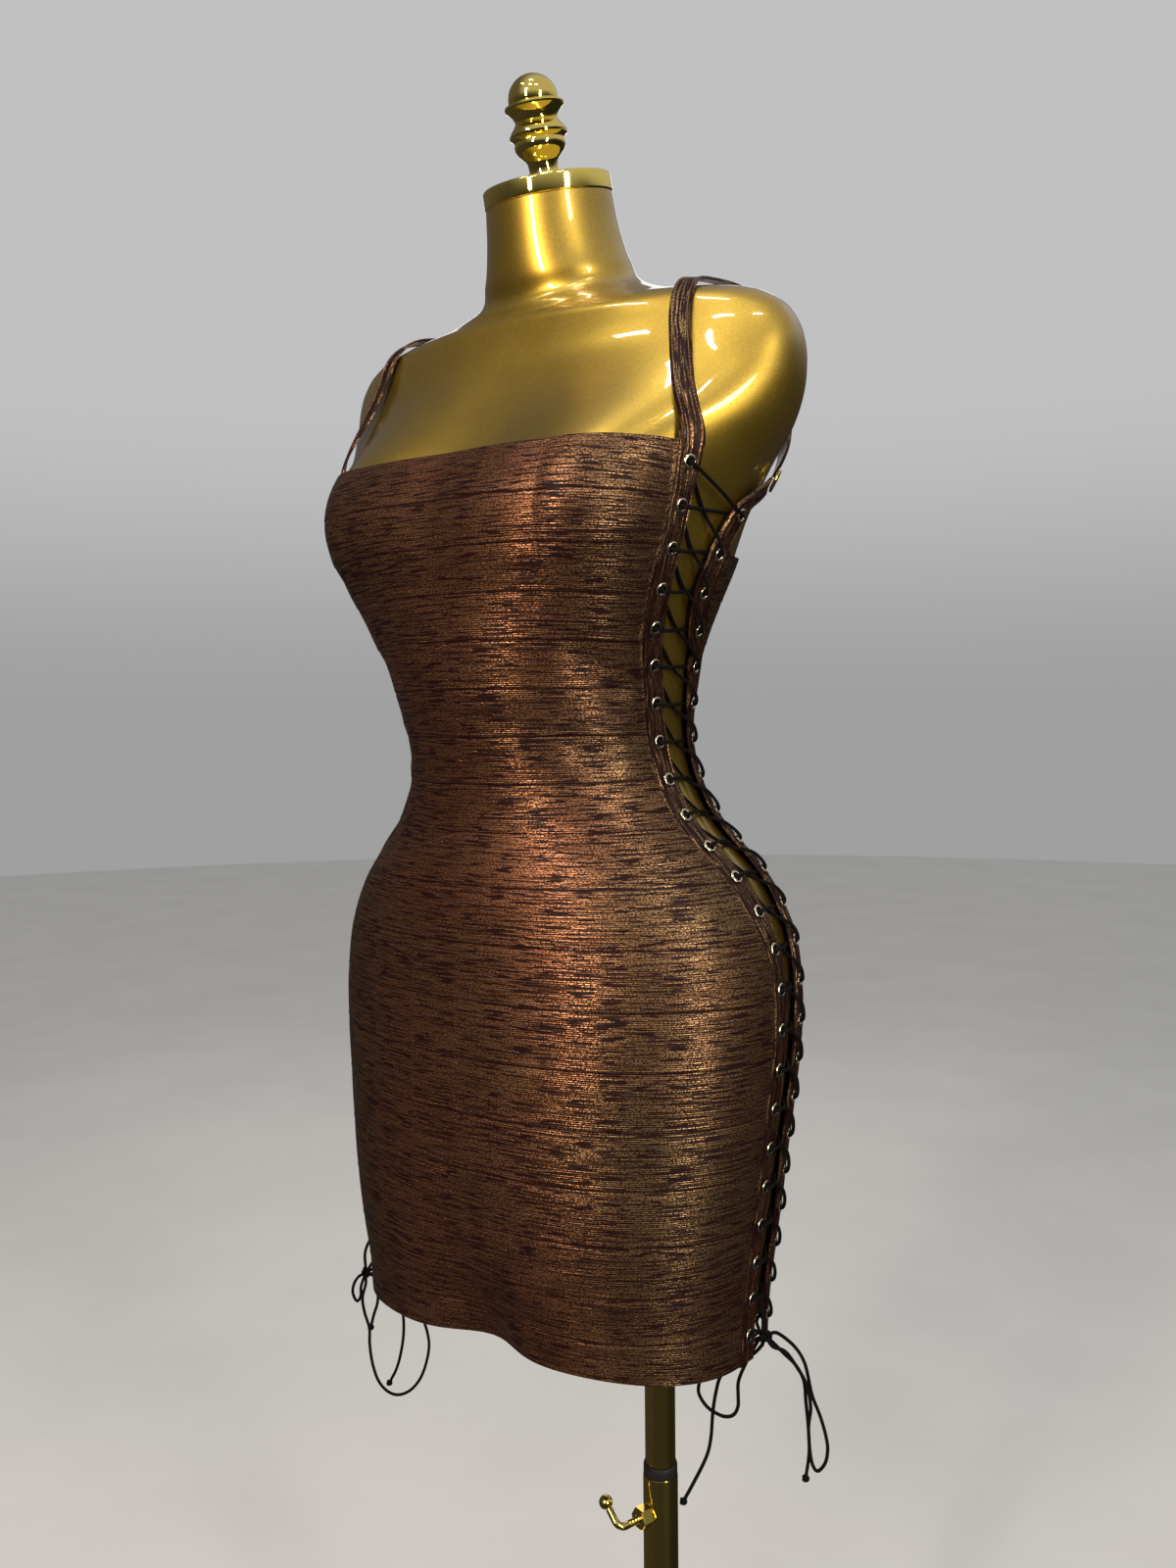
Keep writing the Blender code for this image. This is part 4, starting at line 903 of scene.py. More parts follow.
def from_knot(side, point):
    """Where a cord that comes from a point meets the knot."""
    knot = Vector(KNOTS[side])
    return knot + KNOT_REACH * (point - knot).normalized()


def knot_mesh(name, centre, size, cord, turn):
    """An overhand knot of round cord about a centre."""
    points = []
    for i in range(72):
        t = 2 * math.pi * i / 72
        reach = 2.0 + math.cos(3 * t)
        spot = Vector((reach * math.cos(2 * t), 1.35 * math.sin(3 * t),
                       reach * math.sin(2 * t)))
        points.append((centre + size * (Matrix.Rotation(turn, 3, "Z") @ spot)) * MM)
    points.append(points[0])
    return tube_mesh(name, points, cord, 8)


def layout():
    """The bands and eyelet places that several pieces share, worked out once."""
    if "front" not in SURFACE:
        SURFACE["form_mesh"] = make_figure_mesh()
        front, front_count = band_route(0, FRONT_BAND_TOP, STRAP_ROUTE)
        back, back_count = band_route(1, BACK_BAND_TOP, [BAND_TOP])
        heights = eyelet_heights(front, front_count)
        SURFACE["front"], SURFACE["back"] = front, back
        SURFACE["front_spots"] = [band_spot(front, front_count, z) for z in heights]
        SURFACE["back_spots"] = [band_spot(back, back_count, z) for z in heights[1:]]
    return SURFACE


# ---- finishes ---------------------------------------------------------------------------
# Noises of the foil print: scale along the courses and across them, detail, roughness.
PATCH_NOISE = ((8.0, 60.0, 1.0), 2.0, 0.55)
TONE_NOISE = ((5.0, 7.0, 1.0), 2.0, 0.55)
LINE_NOISE = ((24.0, 1300.0, 1.0), 1.0, 0.5)
DASH_NOISE = ((50.0, 760.0, 1.0), 1.5, 0.45)
FLECK_NOISE = ((220.0, 1300.0, 1.0), 2.0, 0.6)
GRAIN_NOISE = ((800.0, 1100.0, 1.0), 1.0, 0.5)
DASH_SHARE, FLECK_SHARE, PATCH_SHARE = 0.86, 0.14, 0.22
PANEL_BARE, PANEL_COURSE = 0.448, 0.0013        # how much stays bare, metres to a course
BAND_BARE, BAND_COURSE = 0.50, 0.0018
BRAID_STEP, BRAID_GIRTH = 0.0021, 0.0012        # metres along the cord and round it
POLISH, TUBE_POLISH, EYELET_POLISH = 0.03, 0.12, 0.16


def feed(tree, socket, value):
    """Set a socket to a number or a colour, or link it to another node's output."""
    if isinstance(value, bpy.types.NodeSocket):
        tree.links.new(value, socket)
    else:
        socket.default_value = value


def add_node(tree, kind, inputs=None, **values):
    """A node with its settings, and its inputs by name or number."""
    item = tree.nodes.new(kind)
    for key, value in values.items():
        setattr(item, key, value)
    for name, value in (inputs or {}).items():
        feed(tree, item.inputs[name], value)
    return item


def maths(tree, operation, *values, clamp=False):
    """The output of a Math node."""
    return add_node(tree, "ShaderNodeMath", dict(enumerate(values)), operation=operation,
                    use_clamp=clamp).outputs[0]


def between(tree, value, low, high, to_low=0.0, to_high=1.0):
    """A value moved softly from one range to another."""
    item = add_node(tree, "ShaderNodeMapRange",
                    {"Value": value, "From Min": low, "From Max": high, "To Min": to_low,
                     "To Max": to_high}, interpolation_type="SMOOTHSTEP")
    return item.outputs["Result"]


def mixed(tree, share, first, second):
    """A mix of two colours."""
    item = add_node(tree, "ShaderNodeMix", {0: share}, data_type="RGBA")
    for place, colour in ((6, first), (7, second)):
        if not isinstance(colour, bpy.types.NodeSocket):
            colour = (*colour[:3], 1.0)
        feed(tree, item.inputs[place], colour)
    return item.outputs[2]


def shaded(colour, *shares):
    """A colour with each of its parts multiplied by a share."""
    return tuple(part * share for part, share in zip(colour, shares))


def stretched_noise(tree, vector, scales, detail, rough=0.55):
    """Noise on coordinates stretched by a scale each way."""
    place = add_node(tree, "ShaderNodeMapping", {"Vector": vector, "Scale": scales})
    noise = add_node(tree, "ShaderNodeTexNoise",
                     {"Vector": place.outputs[0], "Scale": 1.0, "Detail": detail,
                      "Roughness": rough})
    return noise.outputs["Fac"]


def new_group(name, inputs, outputs):
    """An empty shader group with its sockets."""
    group = bpy.data.node_groups.new(name, "ShaderNodeTree")
    for label, kind, value in inputs:
        socket = group.interface.new_socket(label, in_out="INPUT", socket_type=kind)
        if value is not None:
            socket.default_value = value
    for label in outputs:
        group.interface.new_socket(label, in_out="OUTPUT", socket_type="NodeSocketFloat")
    start = group.nodes.new("NodeGroupInput")
    end = group.nodes.new("NodeGroupOutput")
    return group, start, end


def once(kind):
    """Let a maker of materials or node groups run only where its name isn't there yet."""
    def wrap(make):
        def find(name, *values):
            return getattr(bpy.data, kind).get(name) or make(name, *values)
        return find
    return wrap


@once("node_groups")
def foil_print_group(name):
    """Foil printed on fine courses of knit, broken into dashes along the courses."""
    group, start, end = new_group(
        name,
        [("Cut", "NodeSocketVector", None), ("Bare", "NodeSocketFloat", 0.5),
         ("Course", "NodeSocketFloat", 0.0012)],
        ["Foil", "Tone", "Grain", "Height"])
    cut, bare, course = (start.outputs[k] for k in range(3))
    patch, tone, line, dash, fleck, grain = (
        stretched_noise(group, cut, *noise) for noise in
        (PATCH_NOISE, TONE_NOISE, LINE_NOISE, DASH_NOISE, FLECK_NOISE, GRAIN_NOISE))
    level = maths(group, "MULTIPLY_ADD", maths(group, "SUBTRACT", patch, 0.5), PATCH_SHARE,
                  bare)
    broken = maths(group, "ADD", maths(group, "MULTIPLY", dash, DASH_SHARE),
                   maths(group, "MULTIPLY", fleck, FLECK_SHARE))
    foil = between(group, maths(group, "SUBTRACT", broken, level), -0.008, 0.012)
    split = add_node(group, "ShaderNodeSeparateXYZ", {0: cut})
    ripple = maths(group, "MULTIPLY", tone, 0.004)
    row = maths(group, "DIVIDE", maths(group, "ADD", split.outputs[1], ripple), course)
    rib = maths(group, "SINE", maths(group, "MULTIPLY", row, 2 * math.pi))
    speck = maths(group, "MULTIPLY", between(group, grain, 0.34, 0.62),
                  between(group, line, 0.34, 0.56, 0.25, 1.0))
    height = maths(group, "ADD", maths(group, "MULTIPLY", rib, 0.22),
                   maths(group, "MULTIPLY", speck, 0.22))
    height = maths(group, "ADD", height, maths(group, "MULTIPLY", foil, 0.16))
    for index, value in enumerate((foil, tone, speck, height)):
        group.links.new(value, end.inputs[index])
    return group


@once("node_groups")
def fine_wear_group(name):
    """Faint smudges and grain for painted, plated and moulded surfaces."""
    group, start, end = new_group(
        name,
        [("Place", "NodeSocketVector", None), ("Grain Size", "NodeSocketFloat", 900.0)],
        ["Smudge", "Grain"])
    for label, scale, detail in (("Smudge", 14.0, 4.0), ("Grain", start.outputs[1], 1.0)):
        noise = add_node(group, "ShaderNodeTexNoise",
                         {"Vector": start.outputs[0], "Scale": scale, "Detail": detail})
        group.links.new(noise.outputs["Fac"], end.inputs[label])
    return group


def wear_on(tree, grain_size=900.0):
    """The smudges and the grain of a piece, which follow its own coordinates."""
    place = add_node(tree, "ShaderNodeTexCoord")
    return add_node(tree, "ShaderNodeGroup", {0: place.outputs["Object"], 1: grain_size},
                    node_tree=fine_wear_group("Fine Wear")).outputs


def new_material(name, colour, **constants):
    """A material with its shader; constants are set on the shader's own sockets."""
    material = bpy.data.materials.new(name)
    material.use_nodes = True
    tree = material.node_tree
    shader = tree.nodes["Principled BSDF"]
    shader.inputs["Base Color"].default_value = (*colour[:3], 1.0)
    for label, value in constants.items():
        shader.inputs[label.replace("_", " ")].default_value = value
    return material, tree, shader


def bump(tree, shader, height, distance):
    """Feed a height into the shader's normal."""
    item = add_node(tree, "ShaderNodeBump",
                    {"Height": height, "Distance": distance, "Strength": 1.0})
    tree.links.new(item.outputs[0], shader.inputs["Normal"])


@once("materials")
def foil_knit(name, bare, course):
    """Elastic knit with a broken bronze foil print, and a painted khaki sheen away from the
    middle of the cut.
    """
    colours = settings()
    material, tree, shader = new_material(name, colours.ground_colour, Metallic=0.0,
                                          Roughness=0.5, Specular_IOR_Level=0.12)
    cut = add_node(tree, "ShaderNodeUVMap", uv_map="cut").outputs[0]
    group = add_node(tree, "ShaderNodeGroup", {"Cut": cut, "Bare": bare, "Course": course},
                     node_tree=foil_print_group("Foil Print"))
    foil, tone, grain, height = (group.outputs[k] for k in range(4))
    bronze = tuple(colours.foil_colour)
    khaki_tone_and_sheen = shaded(bronze, 0.72, 1.04, 1.0)
    split = add_node(tree, "ShaderNodeSeparateXYZ", {0: cut})
    # Painted sheen: the foil turns khaki further from the middle line of the cut, in place
    # of lamp reflections on the sides; the tone noise adds real random khaki patches.
    aside = between(tree, maths(tree, "ABSOLUTE", split.outputs[0]), 0.06, 0.13, 0.0, 0.7)
    tone_and_side_sheen = maths(tree, "ADD", aside, between(tree, tone, 0.40, 0.62, 0.0, 0.4), clamp=True)
    print_and_sheen_colour = mixed(tree, tone_and_side_sheen, bronze, khaki_tone_and_sheen)
    wander = add_node(tree, "ShaderNodeTexNoise", {"Vector": cut, "Scale": 90.0})
    uneven = maths(tree, "MULTIPLY_ADD", wander.outputs["Fac"], -0.9, 0.45)
    marks = add_node(tree, "ShaderNodeAttribute", attribute_name="seam").outputs["Fac"]
    groove = between(tree, maths(tree, "ADD", uneven, marks), 0.30, 0.55)
    foil = maths(tree, "MULTIPLY", foil, maths(tree, "SUBTRACT", 1.0, groove))
    dull = mixed(tree, between(tree, grain, 0.0, 1.0, 0.08, 1.0), colours.ground_colour,
                 print_and_sheen_colour)
    tree.links.new(mixed(tree, foil, colours.ground_colour, dull),
                   shader.inputs["Base Color"])
    tree.links.new(maths(tree, "MULTIPLY", foil, 0.88), shader.inputs["Metallic"])
    tree.links.new(between(tree, grain, 0.0, 1.0, 0.44, 0.30), shader.inputs["Roughness"])
    bump(tree, shader, height, 0.00028)
    return material


@once("materials")
def gold_paint(name):
    """Satin gold paint with metal flake under a clear gloss coat."""
    colour = tuple(settings().gold_colour)
    material, tree, shader = new_material(name, colour, Metallic=0.93, Roughness=0.36,
                                          Coat_Weight=1.0, Coat_Roughness=0.05, Coat_IOR=1.5)
    smudge, grain = wear_on(tree, 1600.0)
    deep = shaded(colour, 0.78, 0.70, 0.6)
    tree.links.new(mixed(tree, between(tree, grain, 0.35, 0.62), deep, colour),
                   shader.inputs["Base Color"])
    tree.links.new(between(tree, smudge, 0.3, 0.7, 0.33, 0.40), shader.inputs["Roughness"])
    return material


@once("materials")
def plated(name, colour, roughness):
    """Polished plating with faint smudges."""
    material, tree, shader = new_material(name, colour, Metallic=1.0, Roughness=roughness)
    smudge, _ = wear_on(tree)
    tree.links.new(between(tree, smudge, 0.3, 0.75, roughness, roughness + 0.06),
                   shader.inputs["Roughness"])
    pale_smudge_and_sheen = tuple(min(1.0, part * 1.08) for part in colour)
    tree.links.new(mixed(tree, between(tree, smudge, 0.35, 0.65), colour, pale_smudge_and_sheen),
                   shader.inputs["Base Color"])
    return material


@once("materials")
def braided_cord(name):
    """Round braided cord: small diamonds that follow its length and girth, with a painted
    highlight on their raised middles.
    """
    colour = tuple(settings().lace_colour)
    material, tree, shader = new_material(name, colour, Roughness=0.62,
                                          Specular_IOR_Level=0.15)
    cut = add_node(tree, "ShaderNodeUVMap", uv_map="cut")
    split = add_node(tree, "ShaderNodeSeparateXYZ", {0: cut.outputs[0]})
    along = maths(tree, "MULTIPLY", split.outputs[0], 2 * math.pi / BRAID_STEP)
    girth = maths(tree, "MULTIPLY", split.outputs[1], 4 / BRAID_GIRTH)
    left = maths(tree, "SINE", maths(tree, "ADD", along, girth))
    right = maths(tree, "SINE", maths(tree, "SUBTRACT", along, girth))
    braid = maths(tree, "MULTIPLY", left, right)
    # Painted highlight: the raised middles of the diamonds are painted paler than the black
    # cord.
    pale_smudge_and_sheen = shaded(colour, 1.8, 1.8, 1.8)
    tree.links.new(mixed(tree, between(tree, braid, -0.2, 1.0), colour, pale_smudge_and_sheen),
                   shader.inputs["Base Color"])
    bump(tree, shader, braid, 0.0004)
    return material


@once("materials")
def moulded_plastic(name):
    """Black moulded plastic with a fine grain."""
    material, tree, shader = new_material(name, (0.012, 0.012, 0.013), Roughness=0.4)
    smudge, grain = wear_on(tree)
    tree.links.new(between(tree, smudge, 0.3, 0.7, 0.34, 0.5), shader.inputs["Roughness"])
    bump(tree, shader, grain, 0.0001)
    return material


def polished_gold():
    """The plating of the neck cap, the finial and the strap rings."""
    return plated("polished_gold", tuple(settings().brass_colour), POLISH)


# ---- the stage --------------------------------------------------------------------------
CAMERA_TURN, CAMERA_FOCUS, CAMERA_AWAY, CAMERA_HEIGHT = 35.0, 1300.0, 0.91, 1.10
CAMERA_PITCH, CAMERA_ROLL, CAMERA_ASIDE, PICTURE_TALL = 3.15, 0.577, 0.0195, 1600
SENSOR, FLOOR_RADIUS, LIT_HEIGHT = 36, 9, 1.1
Lamp = namedtuple("Lamp", "name place size power colour")
TUBE_WHITE = (1.0, 0.98, 0.95)
LAMPS = (
    Lamp("front", (0.24, -2.75, 2.0), (0.24, 1.3), 44, (1.0, 0.82, 0.64)),
    Lamp("side", (2.5, -1.0, 1.5), (0.32, 1.8), 34, (1.0, 0.95, 0.84)),
    Lamp("tube_1", (-0.45, -1.0, 2.9), (0.30, 0.06), 3, TUBE_WHITE),
    Lamp("tube_2", (0.45, -1.15, 2.85), (0.30, 0.06), 3, TUBE_WHITE),
    Lamp("tube_3", (0.15, -0.5, 3.0), (0.30, 0.06), 3, TUBE_WHITE),
    Lamp("tube_4", (0.3, -2.3, 2.7), (0.5, 0.06), 5, TUBE_WHITE),
    Lamp("tube_5", (1.05, -0.75, 2.9), (0.30, 0.06), 3, TUBE_WHITE),
    Lamp("rear", (-1.65, 2.38, 2.2), (1.4, 1.4), 7, (1.0, 0.98, 0.96)),
)


def add_camera(scene):
    """The camera, in front of the wearer's left side and tipped down a little."""
    turn, pitch, roll = (math.radians(a) for a in (CAMERA_TURN, CAMERA_PITCH, CAMERA_ROLL))
    right = Vector((math.cos(turn), math.sin(turn), 0))
    ahead = Vector((-math.sin(turn), math.cos(turn), 0))
    up = Vector((0, 0, 1))
    look = ahead * math.cos(pitch) - up * math.sin(pitch)
    top = up * math.cos(pitch) + ahead * math.sin(pitch)
    place = -ahead * CAMERA_AWAY + right * CAMERA_ASIDE + up * CAMERA_HEIGHT
    right, top = (right * math.cos(roll) - top * math.sin(roll),
                  top * math.cos(roll) + right * math.sin(roll))
    lens = bpy.data.cameras.new("camera")
    lens.sensor_width = SENSOR
    lens.lens = CAMERA_FOCUS / PICTURE_TALL * SENSOR
    lens.clip_start = 0.05
    camera = bpy.data.objects.new("camera", lens)
    matrix = Matrix((right, top, -look)).transposed().to_4x4()
    matrix.translation = place
    camera.matrix_world = matrix
    scene.collection.objects.link(camera)
    scene.camera = camera


def add_floor(scene):
    """A pale floor, which polished metal doesn't mirror."""
    data = bmesh.new()
    bmesh.ops.create_circle(data, cap_ends=True, segments=96, radius=FLOOR_RADIUS)
    floor = bpy.data.objects.new("floor", new_mesh("floor", data))
    scene.collection.objects.link(floor)
    material, tree, shader = new_material("pale_floor", (0.80, 0.79, 0.78), Roughness=0.75)
    coordinates = add_node(tree, "ShaderNodeTexCoord")
    mottle = stretched_noise(tree, coordinates.outputs["Object"], (3.0, 3.0, 3.0), 4.0)
    tree.links.new(mixed(tree, between(tree, mottle, 0.3, 0.7), (0.86, 0.855, 0.845),
                         (0.90, 0.895, 0.885)), shader.inputs["Base Color"])
    floor.data.materials.append(material)
    floor.visible_glossy = False


def add_lamps(scene):
    """Soft lamps all turned to the dress and hidden from the camera."""
    for name, spot, size, power, colour in LAMPS:
        lamp = bpy.data.lights.new(name, "AREA")
        lamp.shape = "RECTANGLE"
        lamp.size, lamp.size_y = size
        lamp.energy = power
        lamp.color = colour
        light = bpy.data.objects.new(name, lamp)
        light.location = spot
        light.visible_camera = False
        way = Vector((0, 0, LIT_HEIGHT)) - Vector(spot)
        light.rotation_euler = way.to_track_quat("-Z", "Y").to_euler()
        scene.collection.objects.link(light)


def add_world(scene):
    """Surroundings that the metal mirrors, and a plain grey that the camera sees."""
    world = bpy.data.worlds.new("studio")
    world.use_nodes = True
    tree = world.node_tree
    coordinates = add_node(tree, "ShaderNodeTexCoord")
    split = add_node(tree, "ShaderNodeSeparateXYZ", {0: coordinates.outputs["Generated"]})
    x, y, z = (split.outputs[k] for k in range(3))
    around = mixed(tree, between(tree, z, -0.12, 0.45), (0.035, 0.035, 0.036),
                   (0.50, 0.50, 0.49))
    around = mixed(tree, between(tree, x, -0.6, 0.05, 0.88, 0.0), around,
                   (0.05, 0.045, 0.045))
    aside = maths(tree, "ADD", maths(tree, "MULTIPLY", x, 0.515),
                  maths(tree, "MULTIPLY", y, 0.857))
    low = between(tree, z, 0.1, 0.5, 1.0, 0.0)
    dim = maths(tree, "MULTIPLY", between(tree, aside, 0.2, 0.75), low)
    around = mixed(tree, dim, around, (0.02, 0.02, 0.022))
    path = add_node(tree, "ShaderNodeLightPath")
    seen = mixed(tree, between(tree, z, 0.0, 0.24), (0.35, 0.35, 0.353), (0.53, 0.53, 0.538))
    tree.links.new(mixed(tree, path.outputs["Is Camera Ray"], around, seen),
                   tree.nodes["Background"].inputs[0])
    scene.world = world


# ---- operators --------------------------------------------------------------------------
class DRESS_OT_stage(bpy.types.Operator):
    """Camera, pale floor and soft studio light"""
    bl_idname = "dress.stage"
    bl_label = "Stage"

    def execute(self, context):
        add_camera(context.scene)
        add_floor(context.scene)
        add_lamps(context.scene)
        add_world(context.scene)
        context.scene.view_settings.view_transform = "Standard"
        return {"FINISHED"}


class DRESS_OT_lacing(bpy.types.Operator):
    """The round cords laced through both sides, with their knots and bows"""
    bl_idname = "dress.lacing"
    bl_label = "Lacing"

    def execute(self, context):
        cord = braided_cord("braided_cord")
        route = lace_route(layout()["front_spots"], layout()["back_spots"])
        for side, middle, turn in (("left", route, 0.6), ("right", mirrored(route), -0.5)):
            first, last = [[Vector(point) for point in end] for end in LACE_ENDS[side]]
            first.append(from_knot(side, first[-1]))
            last.append(from_knot(side, last[-1]))
            path = [p * MM for p in soft_route(first[::-1] + middle + last, LACE_STEP)]
            add_object(f"laced_cord_{side}", tube_mesh("lace", path, LACE_RADIUS, 8), cord,
                       [f"lace_{side}"], "figure")
            knot = knot_mesh("knot", Vector(KNOTS[side]), KNOT_SIZE, LACE_RADIUS, turn)
            add_object(f"tied_knot_{side}", knot, cord, [f"knot_{side}"], "figure")
        for name, corners in BOW_ROUTES.items():
            self.add_bow_part(name, [Vector(point) for point in corners], cord)
        return {"FINISHED"}

    def add_bow_part(self, name, corners, cord):
        """One loop of a bow, or one free end with its end knot."""
        side, kind, _ = name.split("_")
        corners.insert(0, from_knot(side, corners[0]))
        if kind == "loop":
            corners.append(from_knot(side, corners[-1]))
        path = [p * MM for p in soft_route(corners, BOW_STEP)]
        meshes = [tube_mesh(name, path, LACE_RADIUS, 10)]
        if kind == "tail":
            centre = path[-1] / MM + END_KNOT_BACK * (path[-3] - path[-1]).normalized()
            meshes.append(knot_mesh("end", centre, END_KNOT_SIZE, END_KNOT_CORD, 0.4))
        item = add_object(f"cord_{name}", joined(name, meshes), cord, [f"bow_{name}"],
                          "figure")


class DRESS_OT_form(bpy.types.Operator):
    """The smooth gold form with its socket for the pole"""
    bl_idname = "dress.form"
    bl_label = "Dress Form"

    def execute(self, context):
        form = add_object("smooth_form", layout()["form_mesh"], gold_paint("gold_paint"),
                          ["dress_form"], "figure")
        middle = POLE + Vector((0, 0, (SOCKET_TOP - SOCKET_DEPTH / 2) * MM))
        data = bmesh.new()
        bmesh.ops.create_cone(data, cap_ends=True, segments=48, radius1=SOCKET_RADIUS * MM,
                              radius2=SOCKET_RADIUS * MM, depth=SOCKET_DEPTH * MM,
                              matrix=Matrix.Translation(middle))
        cut_away(form, new_mesh("socket", data))
        soften(form.data, 50)
        return {"FINISHED"}


class DRESS_OT_neck(bpy.types.Operator):
    """The plated neck cap and the turned finial"""
    bl_idname = "dress.neck"
    bl_label = "Neck Cap and Finial"

    def execute(self, context):
        tilt, middle = FIGURE[-1, 7:]
        place = Matrix.Translation(Vector((0, middle, FIGURE[-1, 0])) * MM)
        place = place @ Matrix.Rotation(math.radians(tilt), 4, "X")
        seat = place @ Matrix.Translation((0, 0, FINIAL_SEAT * MM))
        gold = polished_gold()
        add_object("plated_cap", turned_mesh("cap", CAP, 96, place), gold, ["neck_cap"],
                   "figure")
        add_object("turned_finial", turned_mesh("finial", FINIAL, 64, seat), gold,
                   ["finial"], "figure")
        return {"FINISHED"}


class DRESS_OT_panels(bpy.types.Operator):
    """The front and back panels of bandage strips"""
    bl_idname = "dress.panels"
    bl_label = "Panels"

    def execute(self, context):
        knit = foil_knit("foil_knit_panel", PANEL_BARE, PANEL_COURSE)
        left, right = {}, {}
        for where, way in (("front", -1), ("back", 1)):
            band = layout()[where]
            edge = band.centres + way * (BAND_HALF + EDGE_GAP) * band.sides
            left[where] = edge[:np.searchsorted(edge[:, 2], EDGE_TOP)]
            right[where] = left[where] * (-1, 1, 1)
        front = panel_mesh("front_panel_knit", SEAM_ROWS, FRONT_COLUMNS,
                           (right["front"], left["front"]),
                           (lambda z: FRONT_EDGE_IN - lace_angle(z, 0),
                            lambda z: lace_angle(z, 0) - FRONT_EDGE_IN))
        back = panel_mesh("back_panel_knit", BACK_ROWS, BACK_COLUMNS,
                          (left["back"], right["back"]),
                          (lambda z: lace_angle(z, 1) + BACK_EDGE_IN,
                           lambda z: 360 - BACK_EDGE_IN - lace_angle(z, 1)))
        for name, mesh, flat in (("front_panel", front, (0.36, 0.60)),
                                 ("back_panel", back, (0.34, 0.54))):
            item = add_object(f"{name}_knit", mesh, knit, [name], "figure")
        return {"FINISHED"}


class DRESS_OT_bands(bpy.types.Operator):
    """The laced bands, which run on as the shoulder straps"""
    bl_idname = "dress.bands"
    bl_label = "Bands and Straps"

    def execute(self, context):
        knit = foil_knit("foil_knit_band", BAND_BARE, BAND_COURSE)
        for where in ("front", "back"):
            band, spots = layout()[where], layout()[f"{where}_spots"]
            mesh = band_shell(f"{where}_band", band, [spot[0].z for spot in spots])
            holes = hole_cutters(spots)
            for side in ("left", "right"):
                name = f"{where}_band_{side}"
                own, own_holes = ((mesh.copy(), holes.copy()) if side == "left" else
                                  (mirrored_mesh(mesh, name), mirrored_mesh(holes, name)))
                item = add_object(f"{name}_knit", own, knit, [name], "figure")
                cut_away(item, own_holes)
                soften(item.data, 50)
        return {"FINISHED"}


class DRESS_OT_eyelets(bpy.types.Operator):
    """The metal eyelets down the four bands"""
    bl_idname = "dress.eyelets"
    bl_label = "Eyelets"

    def execute(self, context):
        def eyelet(tree, sizes):
            """A slightly flattened ring of round metal."""
            rim = add_node(tree, "GeometryNodeCurvePrimitiveCircle",
                           {"Resolution": 22, "Radius": sizes["Eyelet Radius"]})
            section = add_node(tree, "GeometryNodeCurvePrimitiveCircle",
                               {"Resolution": 8, "Radius": sizes["Eyelet Metal"]})
            torus = add_node(tree, "GeometryNodeCurveToMesh",
                             {"Curve": rim.outputs[0], "Profile Curve": section.outputs[0]})
            return add_node(tree, "GeometryNodeTransform",
                            {"Geometry": torus.outputs[0], "Scale": (1.0, 1.0, 0.62)})

        spots = layout()["front_spots"] + layout()["back_spots"]
        places = [(centre + (WALL + EYELET_UP) * normal) * MM for centre, normal in spots]
        metal = plated("eyelet_metal", (0.80, 0.70, 0.50), EYELET_POLISH)
        normals = [normal for _, normal in spots]
        mesh = copies_along("Eyelets", places, normals, metal, eyelet,
                            {"Eyelet Radius": settings().eyelet_radius,
                             "Eyelet Metal": settings().eyelet_wire})
        add_object("metal_eyelets", mesh, metal, [], "figure")
        return {"FINISHED"}


class DRESS_OT_stitches(bpy.types.Operator):
    """Rows of small thread stitches along both edges of the straps"""
    bl_idname = "dress.stitches"
    bl_label = "Stitches"

    def execute(self, context):
        def stitch(tree, sizes):
            """A long grain of thread."""
            body = add_node(tree, "GeometryNodeMeshUVSphere",
                            {"Segments": 6, "Rings": 5, "Radius": 0.5})
            long = add_node(tree, "ShaderNodeCombineXYZ",
                            {"X": STITCH_WIDE * MM, "Y": STITCH_WIDE * MM,
                             "Z": sizes["Stitch Length"]})
            return add_node(tree, "GeometryNodeTransform",
                            {"Geometry": body.outputs[0], "Scale": long.outputs[0]})

        band = layout()["front"]
        places, ways = [], []
        for side in (-1, 1):
            rows = band.centres + side * (band.halves - STITCH_IN)[:, None] * band.sides
            rows = (rows + (WALL + STITCH_UP) * band.normals)[STRAP_START:-STRAP_END]
            spots = even_points([Vector(row) for row in rows], STITCH_STEP)
            for before, after in zip(spots, spots[1:]):
                places.append((before + after) / 2 * MM)
                ways.append((after - before).normalized())
        thread, _, _ = new_material("stitch_thread", (0.32, 0.18, 0.105), Roughness=0.7,
                                    Specular_IOR_Level=0.2)
        mesh = copies_along("Stitches", places, ways, thread, stitch,
                            {"Stitch Length": settings().stitch_length})
        add_object("strap_stitches", mesh, thread, [], "figure")
        return {"FINISHED"}


class DRESS_OT_rings(bpy.types.Operator):
    """The small rings between the straps and the back bands"""
    bl_idname = "dress.rings"
    bl_label = "Strap Rings"

    def execute(self, context):
        layout()
        spot, normal, _, _ = SURFACE["figure"].find_nearest(Vector(RING_CENTRE) * MM)
        profile = [(RING_RADIUS + RING_WIRE * math.cos(turn), RING_WIRE * math.sin(turn))
                   for turn in (2 * math.pi * i / 14 for i in range(14))]
        for side, sign in (("left", 1), ("right", -1)):
            facing = Vector((sign * normal.x, normal.y, normal.z))
            centre = Vector((sign * spot.x, spot.y, spot.z)) + RING_LIFT * MM * facing
            turn = facing.to_track_quat("Z", "X").to_matrix().to_4x4()
            mesh = turned_mesh("ring", profile, 48, Matrix.Translation(centre) @ turn)
            add_object(f"gold_ring_{side}", mesh, polished_gold(), [f"strap_ring_{side}"],
                       "figure")
        return {"FINISHED"}


